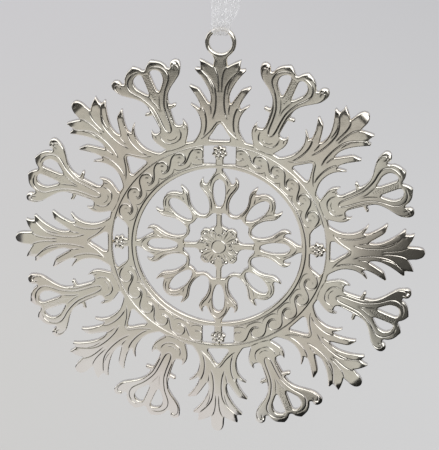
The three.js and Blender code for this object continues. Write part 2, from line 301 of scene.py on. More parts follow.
# One element of the plate: its loops, its chasing and the depth of its front at any point
class Element:
    def __init__(self, outline, holes=(), grooves=(), domes=(), pits=(), tips=(), options=None):
        self.settings = {**relief, **(options or {})}
        self.loops, self.free = [], []
        for i, (loop, free) in enumerate([outline, *holes]):
            backwards = (signedArea(loop) > 0) != (i == 0)
            self.loops.append(loop[::-1] if backwards else loop)
            self.free.append(free[::-1] if backwards else free)
        self.tips = np.array([tip[:2] for tip in tips], float).reshape(-1, 2)
        self.rolls = list(tips)
        self.domes, self.pits = list(domes), list(pits)
        self.readEdges()
        self.readGrooves(grooves)

    def readEdges(self):
        points = np.vstack(self.loops)
        self.edge = points
        self.edgeTree = treeOf(points)
        self.rimTree = treeOf(self.rimPoints(self.settings["rimStep"]))
        freePoints = []
        for loop, free in zip(self.loops, self.free):
            ahead = np.roll(loop, -1, axis=0) - loop
            freePoints.append(loop[free])
            for share in self.settings["edgeShares"]:
                freePoints.append((loop + ahead * share)[free & np.roll(free, -1)])
        freePoints = np.vstack(freePoints)
        self.freeTree = treeOf(freePoints)
        near = np.zeros(len(freePoints))
        if len(self.tips):
            gaps = np.linalg.norm(freePoints[:, None] - self.tips[None], axis=2).min(axis=1)
            near = np.exp(-((gaps / self.settings["tipReach"]) ** 2))
        s = self.settings
        self.bevelWidth = s["edgeWidth"] + (s["tipWidth"] - s["edgeWidth"]) * near
        self.bevelDrop = s["edgeDrop"] + (s["tipDrop"] - s["edgeDrop"]) * near

    def readGrooves(self, grooves):
        s = self.settings
        samples, depth, width = [], [], []
        for line, lineDepth, lineWidth in grooves:
            run = runThrough(line, s["grooveStep"] / 3)
            along = np.concatenate([[0], np.cumsum(np.linalg.norm(np.diff(run, axis=0), axis=1))])
            fade = np.minimum(along, along[-1] - along) / s["grooveFade"]
            isLoop = np.linalg.norm(run[0] - run[-1]) < 1e-6
            end = s["grooveEndDepth"]
            strength = np.ones(len(run)) if isLoop else np.clip(end + (1 - end) * fade, 0, 1)
            samples.append(run)
            depth.append(lineDepth * s["grooveDepthShare"] * strength)
            widening = s["grooveEndWidth"] + s["grooveWidening"] * strength
            width.append(lineWidth * s["grooveWidthShare"] * widening)
        self.grooveRuns, self.grooveLips = samples, width
        if samples:
            self.grooveTree = treeOf(np.vstack(samples))
            self.grooveDepth = np.concatenate(depth)
            self.grooveWidth = np.concatenate(width)

    # How far each point of the front lies below the plate's face, and how deep in a groove it is
    def depths(self, points):
        s = self.settings
        index, gap = nearest(self.freeTree, points)
        t = np.clip(gap / self.bevelWidth[index], 0, 1)
        depth = self.bevelDrop[index] * (1 - np.sqrt(np.clip(1 - (1 - t) ** 2, 0, 1)))
        clear = gap
        cut = np.zeros(len(points))
        if self.grooveRuns:
            index, away = nearest(self.grooveTree, points)
            t = np.clip(away / self.grooveWidth[index], 0, 1)
            cut = self.grooveDepth[index] * (1 - t) ** s["grooveShape"]
            clear = np.minimum(clear, away)
        crownRise = np.clip(clear / s["crownWidth"], 0, 1)
        depth = depth + cut + s["crown"] * (1 - crownRise) ** 2
        for x, y, radius, height in self.domes:
            r = np.hypot(points[:, 0] - x, points[:, 1] - y) / radius
            depth = depth - height * np.sqrt(np.clip(1 - r ** 2, 0, 1))
        for x, y, radius, drop in self.pits:
            r = np.hypot(points[:, 0] - x, points[:, 1] - y) / radius
            well = drop * np.clip(1 - r ** 2, 0, 1)
            depth = depth + well
            cut = cut + well
        return depth, cut

    # How far the sheet bends back near its tips. Each tip has a place, an outward direction and a size
    def roll(self, points):
        s = self.settings
        reach, fade = s["rollNear"]
        back = np.zeros(len(points))
        for x, y, dx, dy, size in self.rolls:
            away = math.hypot(dx, dy)
            along = ((points[:, 0] - x) * dx + (points[:, 1] - y) * dy) / away
            aside = np.abs((points[:, 0] - x) * dy - (points[:, 1] - y) * dx) / away
            near = smooth(s["rollAside"] - aside / s["rollHalfWidth"] / size) * smooth(reach - along / fade)
            curl = np.clip(along / s["rollLength"] / size + 1, 0, s["rollLimit"]) ** 2
            back = np.maximum(back, s["rollDrop"] * size * curl * near)
        return back

    def rimPoints(self, step):
        points = []
        for loop in self.loops:
            for start, run in zip(loop, np.roll(loop, -1, axis=0) - loop):
                count = max(1, math.ceil(math.hypot(*run) / step))
                points.append(start + run * (np.arange(count) / count)[:, None])
        return np.vstack(points)

    def gridPoints(self, step):
        low, high = self.edge.min(axis=0), self.edge.max(axis=0)
        rows = np.arange(low[1], high[1], step * self.settings["gridRow"])
        points = []
        for i, y in enumerate(rows):
            xs = np.arange(low[0] + (i % 2) * step / 2, high[0], step)
            points.append(np.column_stack([xs, np.full(len(xs), y)]))
        return np.vstack(points)

    def rowPoints(self, offsets):
        points = []
        for offset in offsets:
            for loop, free in zip(self.loops, self.free):
                shifted = (loop + inwardNormals(loop) * offset)[free]
                if len(shifted):
                    gap = nearest(self.edgeTree, shifted)[1]
                    points.append(shifted[gap > self.settings["rowShare"] * offset])
        return np.vstack(points)

    def pitPoints(self):  # one in the middle of each punch mark and six round it
        points = []
        for x, y, radius, _ in self.pits:
            points.append((x, y))
            for i in range(6):
                a = i * math.pi / 3
                points.append((x + radius * math.cos(a), y + radius * math.sin(a)))
        return np.array(points).reshape(-1, 2)

    def groovePoints(self):
        s = self.settings
        points = []
        for run, lip in zip(self.grooveRuns, self.grooveLips):
            centre = run[::3]
            along = np.gradient(centre, axis=0)
            along /= np.maximum(np.linalg.norm(along, axis=1), 1e-9)[:, None]
            side = np.column_stack([-along[:, 1], along[:, 0]])
            points.append(centre)
            for share, beyond in s["grooveRows"]:
                offset = lip[::3] * share + beyond
                for sign in (-1, 1):
                    shifted = centre + side * (offset * sign)[:, None]
                    gap = nearest(self.grooveTree, shifted)[1]
                    points.append(shifted[gap > s["grooveRowShare"] * offset])
        found = np.vstack(points) if points else np.zeros((0, 2))
        if len(found):
            found = found[nearest(self.edgeTree, found)[1] > s["grooveStep"] * s["grooveEdgeShare"]]
        return found

    # Keeps points from the groups in turn, where none lies nearer than leastGap to one already kept
    def spread(self, groups, leastGap, margin):
        cells, kept = {}, []
        for x, y in self.edge:
            cells.setdefault((int(x // leastGap), int(y // leastGap)), []).append((x, y))
        for group, isFine in groups:
            if not len(group):
                continue
            group = group[isInside(group, self.loops)]
            group = group[nearest(self.rimTree, group)[1] > self.settings["rimGap"]]
            if not isFine:
                group = group[nearest(self.edgeTree, group)[1] > margin]
            gap = leastGap if isFine else margin
            reach = math.ceil(gap / leastGap)
            for x, y in group:
                cx, cy = int(x // leastGap), int(y // leastGap)
                around = [
                    q
                    for i in range(cx - reach, cx + reach + 1)
                    for j in range(cy - reach, cy + reach + 1)
                    for q in cells.get((i, j), ())
                ]
                if all((x - qx) ** 2 + (y - qy) ** 2 > gap * gap for qx, qy in around):
                    cells.setdefault((cx, cy), []).append((x, y))
                    kept.append((x, y))
        return np.array(kept).reshape(-1, 2)

    # Delaunay triangles inside the outline, with the outline's points first
    def triangles(self, inner):
        points = np.vstack([self.edge, inner])
        edges, first = [], 0
        for loop in self.loops:
            count = len(loop)
            edges.extend((first + i, first + (i + 1) % count) for i in range(count))
            first += count
        flat = [Vector(p) for p in points]
        _, _, faces, origins, _, _ = delaunay_2d_cdt(flat, edges, [], 0, 1e-7, True)
        owner = [source[0] if source else -1 for source in origins]
        faces = np.array([[owner[v] for v in face] for face in faces if len(face) == 3])
        faces = faces[(faces >= 0).all(axis=1)]
        return points, faces[self.areInside(points[faces], faces.tolist(), edges)]

    # Triangles joined across no outline edge are on one side of it: the largest of them speaks for all
    def areInside(self, corners, faces, edges):
        outline = {(min(edge), max(edge)) for edge in edges}
        beside = {}
        for i, face in enumerate(faces):
            for a, b in zip(face, face[1:] + face[:1]):
                beside.setdefault((min(a, b), max(a, b)), []).append(i)
        joined = [[] for _ in faces]
        for edge, pair in beside.items():
            if edge not in outline and len(pair) == 2:
                joined[pair[0]].append(pair[1])
                joined[pair[1]].append(pair[0])
        (ax, ay), (bx, by) = (corners[:, 1] - corners[:, 0]).T, (corners[:, 2] - corners[:, 0]).T
        area = np.abs(ax * by - ay * bx)
        inside = isInside(corners.mean(axis=1), self.loops) & (area > self.settings["leastArea"])
        kept, seen = np.zeros(len(faces), bool), np.zeros(len(faces), bool)
        for largest in np.argsort(-area):
            stack = [] if seen[largest] else [largest]
            while stack:
                i = stack.pop()
                seen[i], kept[i] = True, inside[largest]
                stack.extend(k for k in joined[i] if not seen[k])
        return kept

    def build(self):
        s = self.settings
        fine = [(self.groovePoints(), True), (self.pitPoints(), True), (self.rowPoints(s["edgeRows"]), True)]
        margin = s["gridStep"] * s["gridMargin"]
        inner = self.spread([*fine, (self.gridPoints(s["gridStep"]), False)], s["leastGap"], margin)
        front, frontFaces = self.triangles(inner)
        depth, cut = self.depths(front)
        coarse = [(self.rowPoints(s["backRows"]), True), (self.gridPoints(s["backStep"]), False)]
        plain = self.spread(coarse, s["leastGap"], s["backMargin"])
        back, backFaces = self.triangles(plain)
        gap = nearest(self.freeTree, back)[1]
        t = np.clip(gap / s["backEdgeWidth"], 0, 1)
        backDepth = s["backEdgeDrop"] * (1 - np.sqrt(np.clip(1 - (1 - t) ** 2, 0, 1)))
        vertices = np.vstack([
            np.column_stack([front[:, 0], plateFront + depth + self.roll(front), front[:, 1]]),
            np.column_stack([back[:, 0], plateBack - backDepth + self.roll(back), back[:, 1]]),
        ])
        shift = len(front)
        faces = [frontFaces, backFaces[:, ::-1] + shift]
        first = 0
        for loop in self.loops:
            i = np.arange(len(loop)) + first
            j = np.roll(i, -1)
            faces.append(np.column_stack([i, i + shift, j + shift]))
            faces.append(np.column_stack([i, j + shift, j]))
            first += len(loop)
        self.vertices, self.faces = vertices, np.vstack(faces)
        self.cut = np.concatenate([cut, np.zeros(len(back))])
        return self


# The plate is a little bent, as thin struck metal is. A curl has a bearing, a start, a strength and a breadth
bend = {
    "curls": ((100.0, 22.5, 0.0034, 10.0), (135.0, 33.5, -0.009, 8.0), (198.0, 26.0, 0.0038, 24.0)),
    "neck": (31.0, 40.5, 43.6, 0.021, 6.5),
    "waves": ((0.06, 62.0, 20.0, 0.4), (0.035, 34.0, 150.0, 2.1), (0.02, 22.0, 75.0, 4.0)),
}


def plateBend(x, z):  # how far the plate stands back at a place, in millimetres
    back = 0.0
    for bearing, start, curl, breadth in bend["curls"]:
        out = (math.sin(math.radians(bearing)), math.cos(math.radians(bearing)))
        along, aside = x * out[0] + z * out[1], x * out[1] - z * out[0]
        back = back + curl * np.clip(along - start, 0, None) ** 2 * np.exp(-((aside / breadth) ** 2))
    low, crest, high, height, breadth = bend["neck"]
    rise = smooth((z - low) / (crest - low)) - smooth((z - crest) / (high - crest))
    back = back + height * rise * np.exp(-((x / breadth) ** 2))
    for height, length, angle, phase in bend["waves"]:
        along = x * math.cos(math.radians(angle)) + z * math.sin(math.radians(angle))
        back = back + height * np.sin(2 * math.pi * along / length + phase)
    return back


def makeMesh(name, vertices, faces, sharpDegrees, attributes=None):
    mesh = bpy.data.meshes.new(name)
    mesh.vertices.add(len(vertices))
    mesh.vertices.foreach_set("co", np.asarray(vertices, np.float32).ravel())
    faces = [list(map(int, f)) for f in faces]
    mesh.loops.add(sum(map(len, faces)))
    mesh.loops.foreach_set("vertex_index", [v for f in faces for v in f])
    mesh.polygons.add(len(faces))
    starts = np.concatenate([[0], np.cumsum([len(f) for f in faces])[:-1]])
    mesh.polygons.foreach_set("loop_start", starts.astype(np.int32))
    mesh.polygons.foreach_set("loop_total", np.array([len(f) for f in faces], np.int32))
    mesh.update(calc_edges=True)
    mesh.polygons.foreach_set("use_smooth", [True] * len(faces))
    for key, values in (attributes or {}).items():
        layer = mesh.attributes.new(key, "FLOAT", "POINT")
        layer.data.foreach_set("value", np.asarray(values, np.float32))
    mesh.set_sharp_from_angle(angle=math.radians(sharpDegrees))
    mesh.validate()
    thing = bpy.data.objects.new(name, mesh)
    bpy.context.scene.collection.objects.link(thing)
    return thing


grooveSharp = 50  # degrees: sharper edges stay sharp


def fromPlate(points):  # places in the frame, from millimetres off the plate's centre
    return points * mm + np.array(plateCentre)


def placeElement(name, element, angle, node):
    c, s = math.cos(math.radians(angle)), math.sin(math.radians(angle))
    x, y, z = element.vertices.T
    across, up = x * c + z * s, -x * s + z * c
    placed = fromPlate(np.column_stack([across, y + plateBend(across, up), up]))
    piece = makeMesh(name, placed, element.faces, grooveSharp, {"groove": element.cut})
    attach(piece, "snowflake")
    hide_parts(node)
    return piece


ringOuter = 21.1
ringInner = 16.1
overlap = 0.03  # elements run this far into each other, so that the plate looks like one sheet
footRise = 0.9  # how far an outer element stays within its own sector
footStep = 0.4
lilyAngle = 5.35  # half a lily's share of the ring, in degrees
palmetteAngle = 45 / 2 - lilyAngle


def footStrokes(halfAngle):
    top = ringOuter + footRise
    a = math.radians(halfAngle) + overlap / ringOuter
    sole = arc(ringOuter - overlap, 0, math.degrees(a), footStep)
    return [["seam", *map(tuple, sole)], ["seam", tuple(sole[-1]), (top * math.sin(a), top * math.cos(a))]]


def liftLines(lines):
    return [([(x, y + ringOuter) for x, y in points], depth, width) for points, depth, width in lines]


def both(lines):  # chased lines and their mirror images
    found = []
    for points, depth, width in lines:
        found.append((points, depth, width))
        if any(abs(x) > 1e-6 for x, y in points):
            found.append(([(-x, y) for x, y in points], depth, width))
    return found


def bothTips(tips, height=ringOuter):
    return [(x * side, y + height, dx * side, dy, size) for x, y, dx, dy, size in tips for side in (-1, 1)]


def bothSpots(spots):
    return [(x * side, y, r, h) for x, y, r, h in spots for side in ((1, -1) if x else (1,))]


# Palmettes
palmette = {
    "sides": [
        [(5.55, 0.12), (5.0, 0.35), (4.4, 1.25), (3.85, 2.5), (3.68, 3.9), (3.95, 5.4), (4.65, 6.65),
         (5.7, 7.7)],
        [(5.55, 7.85), (4.75, 7.5), (3.95, 6.95)],
        [(3.95, 6.95), (3.8, 7.65), (4.35, 8.9), (5.1, 10.1), (5.95, 11.25)],
        [(5.75, 11.55), (4.9, 11.3), (4.1, 10.95), (3.3, 9.9), (2.55, 8.75), (2.1, 8.1)],
        [(1.9, 8.3), (1.8, 9.3), (2.1, 10.6), (2.9, 12.15), (3.9, 13.55), (4.9, 14.7)],
        [(4.75, 15.05), (4.2, 15.0), (3.85, 15.05)],
        [(3.85, 15.05), (3.85, 15.8), (4.0, 16.65)],
        [(3.9, 16.72), (3.1, 16.45), (2.2, 16.0), (1.4, 15.5)],
    ],
    "tip": [(1.4, 15.5), (1.3, 16.5), (1.25, 17.4), (0.95, 18.25), (0.5, 18.7), (0, 18.85)],
    "cutTop": [(1.4, 15.5), (0, 15.5)],  # where the neck stands on the north palmette
    "window": [
        [(0, 4.05), (0.5, 3.6), (1.2, 2.45), (1.95, 1.3)],
        [(1.95, 0.85), (1.6, 0.65), (0, 0.62)],
    ],
    "grooves": [
        ([(0.3, 10.8), (0.36, 12.9), (0.62, 14.4), (1.2, 15.6)], 0.17, 0.25),
        ([(1.35, 5.3), (0.95, 6.7), (0.78, 8.4), (0.82, 9.9), (1.05, 11.4), (1.55, 12.5), (2.25, 13.4),
          (3.0, 14.15), (3.8, 14.95)], 0.19, 0.27),
        ([(1.4, 10.4), (1.6, 11.6), (2.0, 12.7), (2.55, 13.5)], 0.1, 0.18),
        ([(1.68, 6.3), (1.75, 7.2), (1.95, 8.1)], 0.17, 0.22),
        ([(3.05, 1.8), (2.72, 2.9), (2.6, 4.4), (2.78, 5.9), (3.3, 7.2), (3.85, 7.4)], 0.18, 0.27),
        ([(0, 4.65), (0.45, 4.5), (1.0, 3.8), (1.6, 2.9), (2.3, 2.1), (3.1, 1.35), (3.5, 1.1)], 0.13, 0.2),
        ([(3.7, 7.6), (4.3, 9.3), (5.0, 10.5), (5.5, 11.1)], 0.07, 0.2),
    ],
    "tips": [(5.62, 7.75, 0.75, 0.66, 0.8), (5.85, 11.4, 0.6, 0.8, 1), (4.82, 14.85, 0.6, 0.8, 0.9),
             (3.95, 16.7, 0.45, 0.89, 1)],
    "topTip": (0, 18.85, 0, 1, 1.2),
}


def palmetteElement(hasTip):
    top = palmette["tip"] if hasTip else ["seam", *palmette["cutTop"]]
    strokes = raised([*palmette["sides"], top], ringOuter)
    step = relief["outlineStep"]
    outline = mirrored(*drawStrokes(footStrokes(palmetteAngle) + strokes, step))
    window = mirrored(*drawStrokes(raised(palmette["window"], ringOuter), step))
    grooves = both(liftLines(palmette["grooves"]))
    tips = bothTips(palmette["tips"])
    if hasTip:
        x, y, *direction = palmette["topTip"]
        tips.append((x, y + ringOuter, *direction))
    return Element(outline, [window], grooves, tips=tips).build()


# Lilies
lily = {
    "sides": [
        [(2.75, 1.75), (3.4, 2.85), (3.65, 3.9), (3.5, 4.8), (3.2, 5.4)],
        [(3.2, 5.4), (3.1, 4.8), (2.75, 4.45), (2.2, 4.45), (1.75, 4.7), (1.6, 5.3)],
        [(1.6, 5.3), (1.7, 6.8), (1.85, 8.1)],
        [(2.4, 8.2), (3.0, 8.3), (3.25, 8.65), (2.9, 8.95), (2.3, 8.9), (2.0, 9.1)],
        [(2.0, 9.1), (2.2, 10.2), (2.75, 11.25), (3.7, 12.2), (4.9, 13.05), (6.0, 13.9), (6.65, 14.8),
         (7.05, 15.9), (6.85, 16.65), (6.2, 17.0), (5.5, 16.85), (5.15, 16.4), (5.0, 15.85)],
        [(4.6, 15.75), (4.35, 16.0)],
        [(4.35, 16.0), (4.1, 16.75), (3.5, 17.5), (2.7, 18.0), (1.85, 18.4)],
        [(1.85, 18.4), (1.2, 18.05), (0.65, 17.55), (0.3, 17.1), (0, 17.0)],
    ],
    "opening": [
        [(0.8, 15.8), (0.95, 16.3), (1.5, 16.5), (2.2, 16.25), (2.7, 15.7), (2.85, 15.0), (2.65, 14.0),
         (2.05, 13.15), (1.4, 12.4), (1.05, 12.15)],
        [(0.85, 12.5), (0.8, 13.9), (0.8, 15.8)],
    ],
    "grooves": [
        ([(1.3, 5.2), (1.4, 7.5), (1.62, 9.1), (2.15, 10.3), (3.0, 11.45), (4.2, 12.5), (5.3, 13.4),
          (6.0, 14.1), (6.4, 14.9), (6.45, 15.6), (6.15, 16.05), (5.65, 15.9), (5.5, 15.4)], 0.17, 0.25),
        ([(0, 3.85), (0.45, 4.25), (0.66, 5.3), (0.78, 7.4), (1.02, 9.2), (1.6, 10.7), (2.4, 12.1),
          (3.3, 13.2), (3.85, 14.0), (4.05, 14.7), (3.95, 15.5), (3.6, 16.2), (3.0, 16.75), (2.2, 17.1),
          (1.5, 17.15)], 0.19, 0.26),
        ([(0.13, 8.7), (0.25, 9.7), (0.6, 10.7), (1.0, 11.7)], 0.08, 0.18),
        ([(2.0, 3.9), (1.9, 2.9), (1.4, 2.1), (0.6, 1.75), (0, 1.68)], 0.15, 0.22),
        ([(0.95, 2.75), (0.5, 2.45), (0, 2.38)], 0.13, 0.2),
        ([(2.85, 4.5), (2.95, 3.6)], 0.14, 0.2),
        ([(2.0, 0.62), (1.0, 0.46), (0, 0.42)], 0.1, 0.2),
    ],
    "domes": [(5.75, 16.35, 0.42, 0.16)],
    "tips": [(6.75, 16.75, 0.75, 0.66, 0.7), (1.85, 18.4, 0.1, 1, 0.7), (3.2, 5.4, -0.3, 1, 0.4),
             (3.25, 8.65, 1, 0.1, 0.3)],
}
# Small punch marks in rows fill the lily's middle strip, which widens from its foot
stipple = {
    "foot": 11.2,
    "top": 16.4,
    "halfWidth": 0.66,
    "footShare": 0.15,
    "widensOver": 2.6,
    "step": 0.3,
    "rowShare": 0.87,
    "jitter": 0.07,
    "radius": (0.09, 0.13),
    "drop": (0.012, 0.026),
    "seed": 3,
}


def stipplePits():
    draw = np.random.default_rng(stipple["seed"])
    foot, step, jitter = stipple["foot"], stipple["step"], stipple["jitter"]
    pits = []
    for i, y in enumerate(np.arange(foot, stipple["top"], step * stipple["rowShare"])):
        widening = stipple["footShare"] + (y - foot) / stipple["widensOver"]
        half = stipple["halfWidth"] * min(1.0, widening)
        for x in np.arange(-half + (i % 2) * step / 2, half, step):
            dx, dy = draw.uniform(-jitter, jitter, 2)
            radius, drop = draw.uniform(*stipple["radius"]), draw.uniform(*stipple["drop"])
            pits.append((x + dx, y + dy + ringOuter, radius, drop))
    return pits


def lilyElement():
    step = relief["outlineStep"]
    outline = mirrored(*drawStrokes(footStrokes(lilyAngle) + raised(lily["sides"], ringOuter), step))
    right = drawStrokes(raised(lily["opening"], ringOuter), step)
    right = (right[0][:-1], right[1][:-1])
    left = (right[0] * (-1, 1), right[1])
    grooves = both(liftLines(lily["grooves"]))
    tips = bothTips(lily["tips"])
    domes = bothSpots([(x, y + ringOuter, r, h) for x, y, r, h in lily["domes"]])
    return Element(outline, [right, left], grooves, domes, stipplePits(), tips).build()


# Inner tulips
tulips = {
    "scallopInner": 6.24,
    "scallopOuter": 6.92,
    "upright": {
        "foot": [(0, 6.8), (0.55, 6.8)],
        "scallop": [(0.55, 6.8), (1.1, 6.78), (1.5, 6.5), (1.95, 6.05)],
        "side": [(2.3, 6.65), (2.05, 7.1), (1.92, 7.9), (1.95, 8.8), (2.2, 9.7), (2.6, 10.5), (3.15, 11.3),
                 (3.65, 12.0), (3.85, 12.7), (3.7, 13.4), (3.35, 13.85), (3.0, 14.05)],
        "crook": [(3.0, 14.05), (3.12, 13.5), (2.95, 13.0), (2.6, 12.75)],
        "dome": [(2.35, 12.8), (2.0, 13.5), (1.55, 14.3), (1.0, 15.1), (0.75, 15.6), (0.7, 16.06)],
        "opening": [(0, 8.12), (0.35, 8.2), (0.65, 8.7), (0.95, 9.6), (1.12, 10.7), (1.12, 11.8),
                    (0.98, 12.8), (0.6, 13.5), (0, 13.85)],
        "grooves": [
            ([(0, 15.2), (0.5, 14.9), (1.0, 14.45), (1.4, 13.85), (1.62, 13.1), (1.75, 12.5)], 0.15, 0.2),
            ([(1.45, 7.5), (1.5, 9.0), (1.75, 10.0), (2.25, 10.95), (2.8, 11.6), (3.25, 12.3), (3.35, 12.9)],
             0.16, 0.21),
            ([(1.35, 10.4), (1.6, 11.3), (2.0, 12.0), (2.3, 12.5)], 0.1, 0.16),
        ],
    },
    "slant": {
        "scallop": [(0, 6.85), (0.6, 6.95), (1.05, 7.0), (1.4, 6.65), (1.85, 6.1)],
        "side": [(2.2, 6.75), (1.95, 7.25), (1.85, 8.1), (1.95, 9.0), (2.25, 9.9), (2.7, 10.65),
                 (3.25, 11.35), (3.6, 12.0), (3.68, 12.9), (3.6, 13.6), (3.4, 14.0)],
        "crook": [(3.4, 14.0), (3.15, 13.5), (2.95, 12.95), (2.65, 12.7)],
        "dome": [(2.35, 12.85), (2.0, 13.45), (1.5, 14.0), (0.9, 14.4), (0.35, 14.55), (0, 14.6)],
        "opening": [(0, 7.6), (0.5, 7.95), (0.9, 8.7), (1.2, 9.7), (1.32, 10.7), (1.22, 11.6), (0.98, 12.4),
                    (0.55, 13.1), (0, 13.35)],
        "grooves": [
            ([(0, 14.1), (0.5, 13.98), (1.1, 13.6), (1.6, 13.0), (1.8, 12.4)], 0.13, 0.18),
            ([(1.42, 7.6), (1.5, 8.8), (1.8, 9.9), (2.35, 10.85), (2.9, 11.6), (3.2, 12.3), (3.25, 13.0)],
             0.16, 0.21),
            ([(1.5, 10.6), (1.75, 11.4), (2.1, 12.0), (2.4, 12.45)], 0.1, 0.16),
        ],
    },
    "tips": [(3.3, 14.0, 0.1, 1, 0.6)],
    "edge": {"tipWidth": 0.3, "tipDrop": 0.26},
}


def scallopEnd(radius):
    a = math.radians(45 / 2)
    return (radius * math.sin(a) + overlap * math.cos(a), radius * math.cos(a) - overlap * math.sin(a))


def tulipElement(kind):
    shape = tulips[kind]
    step = relief["outlineStep"]
    inner, outer = scallopEnd(tulips["scallopInner"]), scallopEnd(tulips["scallopOuter"])
    strokes = [[*shape["scallop"], inner], ["seam", inner, outer], [outer, *shape["side"]]]
    strokes.extend([shape["crook"], shape["dome"]])
    if kind == "upright":
        strokes.insert(0, ["seam", *shape["foot"]])
        strokes.append(["seam", shape["dome"][-1], (0, ringInner + overlap)])
    outline = mirrored(*drawStrokes(strokes, step))
    opening = mirrored(*drawStrokes([shape["opening"]], step))
    tips = bothTips(tulips["tips"], 0)
    grooves = both(shape["grooves"])
    return Element(outline, [opening], grooves, tips=tips, options=tulips["edge"]).build()


# Centre rosette with its four bars
rosette = {
    "barHalfWidth": 0.55,
    "barEnd": 6.84,
    "flare": [(0.55, 5.0), (0.65, 4.4), (1.0, 3.95)],
    "bead": [(1.0, 3.95), (1.35, 3.8), (1.7, 3.65), (1.8, 3.4)],
    "corner": [(1.8, 3.4), (2.2, 3.58), (2.8, 3.55), (3.25, 3.25)],
    "petalLines": [
        ([(1.15, 1.15), (1.6, 1.6), (2.5, 2.5), (2.9, 2.9)], 0.05, 0.2),
        ([(0.95, 1.45), (1.35, 2.2), (1.75, 2.9), (1.85, 3.35)], 0.13, 0.24),
        ([(0.55, 1.6), (0.62, 2.3), (0.75, 3.2), (0.7, 4.1)], 0.09, 0.22),
        ([(1.9, 2.2), (2.25, 2.75), (2.5, 3.2)], 0.05, 0.2),
    ],
    "buttonRadius": 1.2,
    "buttonGap": 0.13,
    "buttonLine": (0.12, 0.2),
    "beads": [(1.28, 3.45, 0.32, 0.14), (0.72, 2.6, 0.2, 0.08), (2.45, 2.9, 0.24, 0.07),
              (0, 2.2, 0.3, 0.06)],
    "pits": [(0, 3.05, 0.16, 0.05), (1.05, 2.75, 0.15, 0.06), (0.9, 3.35, 0.12, 0.05)],
    "outlineShare": 0.8,
    "mesh": {"gridStep": 0.15},
}


def quarterTurns(lines):
    return [
        ([tuple(p) for p in turned(points, turn * 90)], depth, width)
        for points, depth, width in lines
        for turn in range(4)
    ]


def quarterSpots(spots):
    found = []
    for x, y, radius, height in spots:
        for turn in range(4):
            (px, py), = turned([(x, y)], turn * 90)
            found.append((px, py, radius, height))
    return found


def rosetteElement():
    step = relief["outlineStep"] * rosette["outlineShare"]
    bar, end = rosette["barHalfWidth"], rosette["barEnd"]
    side = [[(bar, end), rosette["flare"][0]], rosette["flare"], rosette["bead"], rosette["corner"]]
    half, free = drawStrokes(side, step)
    quarter = np.vstack([half[:-1], half[::-1][:, ::-1]])
    quarterFree = np.concatenate([free[:-1], free[::-1]])
    points, flags = [], []
    for turn in range(4):
        points.append(turned(quarter, turn * 90))
        flags.append(quarterFree)
    outline = (np.vstack(points), np.concatenate(flags))
    lines = []
    for line, depth, width in rosette["petalLines"]:
        lines.append((line, depth, width))
        if any(abs(x - y) > 1e-6 for x, y in line):
            lines.append(([(y, x) for x, y in line], depth, width))
    circle = [tuple(p) for p in arc(rosette["buttonRadius"] + rosette["buttonGap"], 0, 360, 0.2)]
    grooves = quarterTurns(lines) + [(circle, *rosette["buttonLine"])]
    domes = quarterSpots(bothSpots(rosette["beads"]))
    pits = quarterSpots(bothSpots(rosette["pits"]))
    return Element(outline, (), grooves, domes, pits, options=rosette["mesh"]).build()


# Ring with its running scroll, four windows and the flowers in them
ring = {
    "windowFoot": 16.9,
    "sideWindowFoot": 17.78,
    "windowTop": 20.75,
    "windowHalfWidth": 3.05,
    "archShare": 0.52,
    "sideWindow": [(3.3, 17.78), (4.15, 18.3), (4.85, 19.15), (5.4, 19.75)],
    "sideArch": (0.85, 0.59, 0.3, 0),
    "flowerFoot": (0.8, 19),  # the window's edge is a seam where the flower stands on it
    "edgeLines": [(16.95, 0.17, 0.24), (20.93, 0.14, 0.2)],
    "edgeLineStep": 0.5,
    "scrollRadius": 19.35,
    "scrollAngles": (12.0, 23.4, 34.8, 46.2, 57.6, 69.0),
    "topBlockHalfWidth": 0.7,
}
# One wave of the scroll: across and up from its disc's centre, rising clockwise. The last has no long tail
wave = {
    "line": [(-4.55, -1.0), (-4.1, -1.22), (-3.4, -1.2), (-2.75, -0.85), (-2.1, -0.15), (-1.5, 0.6),
             (-0.8, 1.1), (0, 1.25), (0.75, 1.0), (1.15, 0.35), (1.05, -0.45), (0.5, -0.95), (-0.15, -1.0),
             (-0.65, -0.7)],
    "depth": 0.17,
    "halfWidth": 0.23,
    "disc": (0, 0.1, 1.0, 0.025),
    "bead": (-0.05, 0.0, 0.4, 0.025),
    "curlBead": (-0.6, -0.72, 0.26, 0.05),
    "tail": 4,
    "scallop": [(-1.93, -1.25), (-1.6, -1.7), (-1.0, -2.02), (0, -2.1), (1.0, -2.02), (1.6, -1.7),
                (1.93, -1.25)],
    "scallopDepth": 0.1,
    "scallopHalfWidth": 0.2,
}


def windowLoop(isSide, step):
    top = ring["windowTop"]

    def onTop(x):
        return (x, math.sqrt(top ** 2 - x ** 2))

    if isSide:
        corner = ring["sideWindow"][-1]
        arch = [onTop(corner[0] * share) for share in ring["sideArch"]]
        strokes = [ring["sideWindow"], arch]
    else:
        half = ring["windowHalfWidth"]
        arch = [onTop(half), onTop(half * ring["archShare"]), (0, top)]
        strokes = [[(half, ring["windowFoot"]), arch[0]], arch]
    points, free = mirrored(*drawStrokes(strokes, step))
    foot = runThrough([points[-1], points[0]], step)[1:-1]
    return np.vstack([points, foot]), np.concatenate([free, [True] * len(foot)])


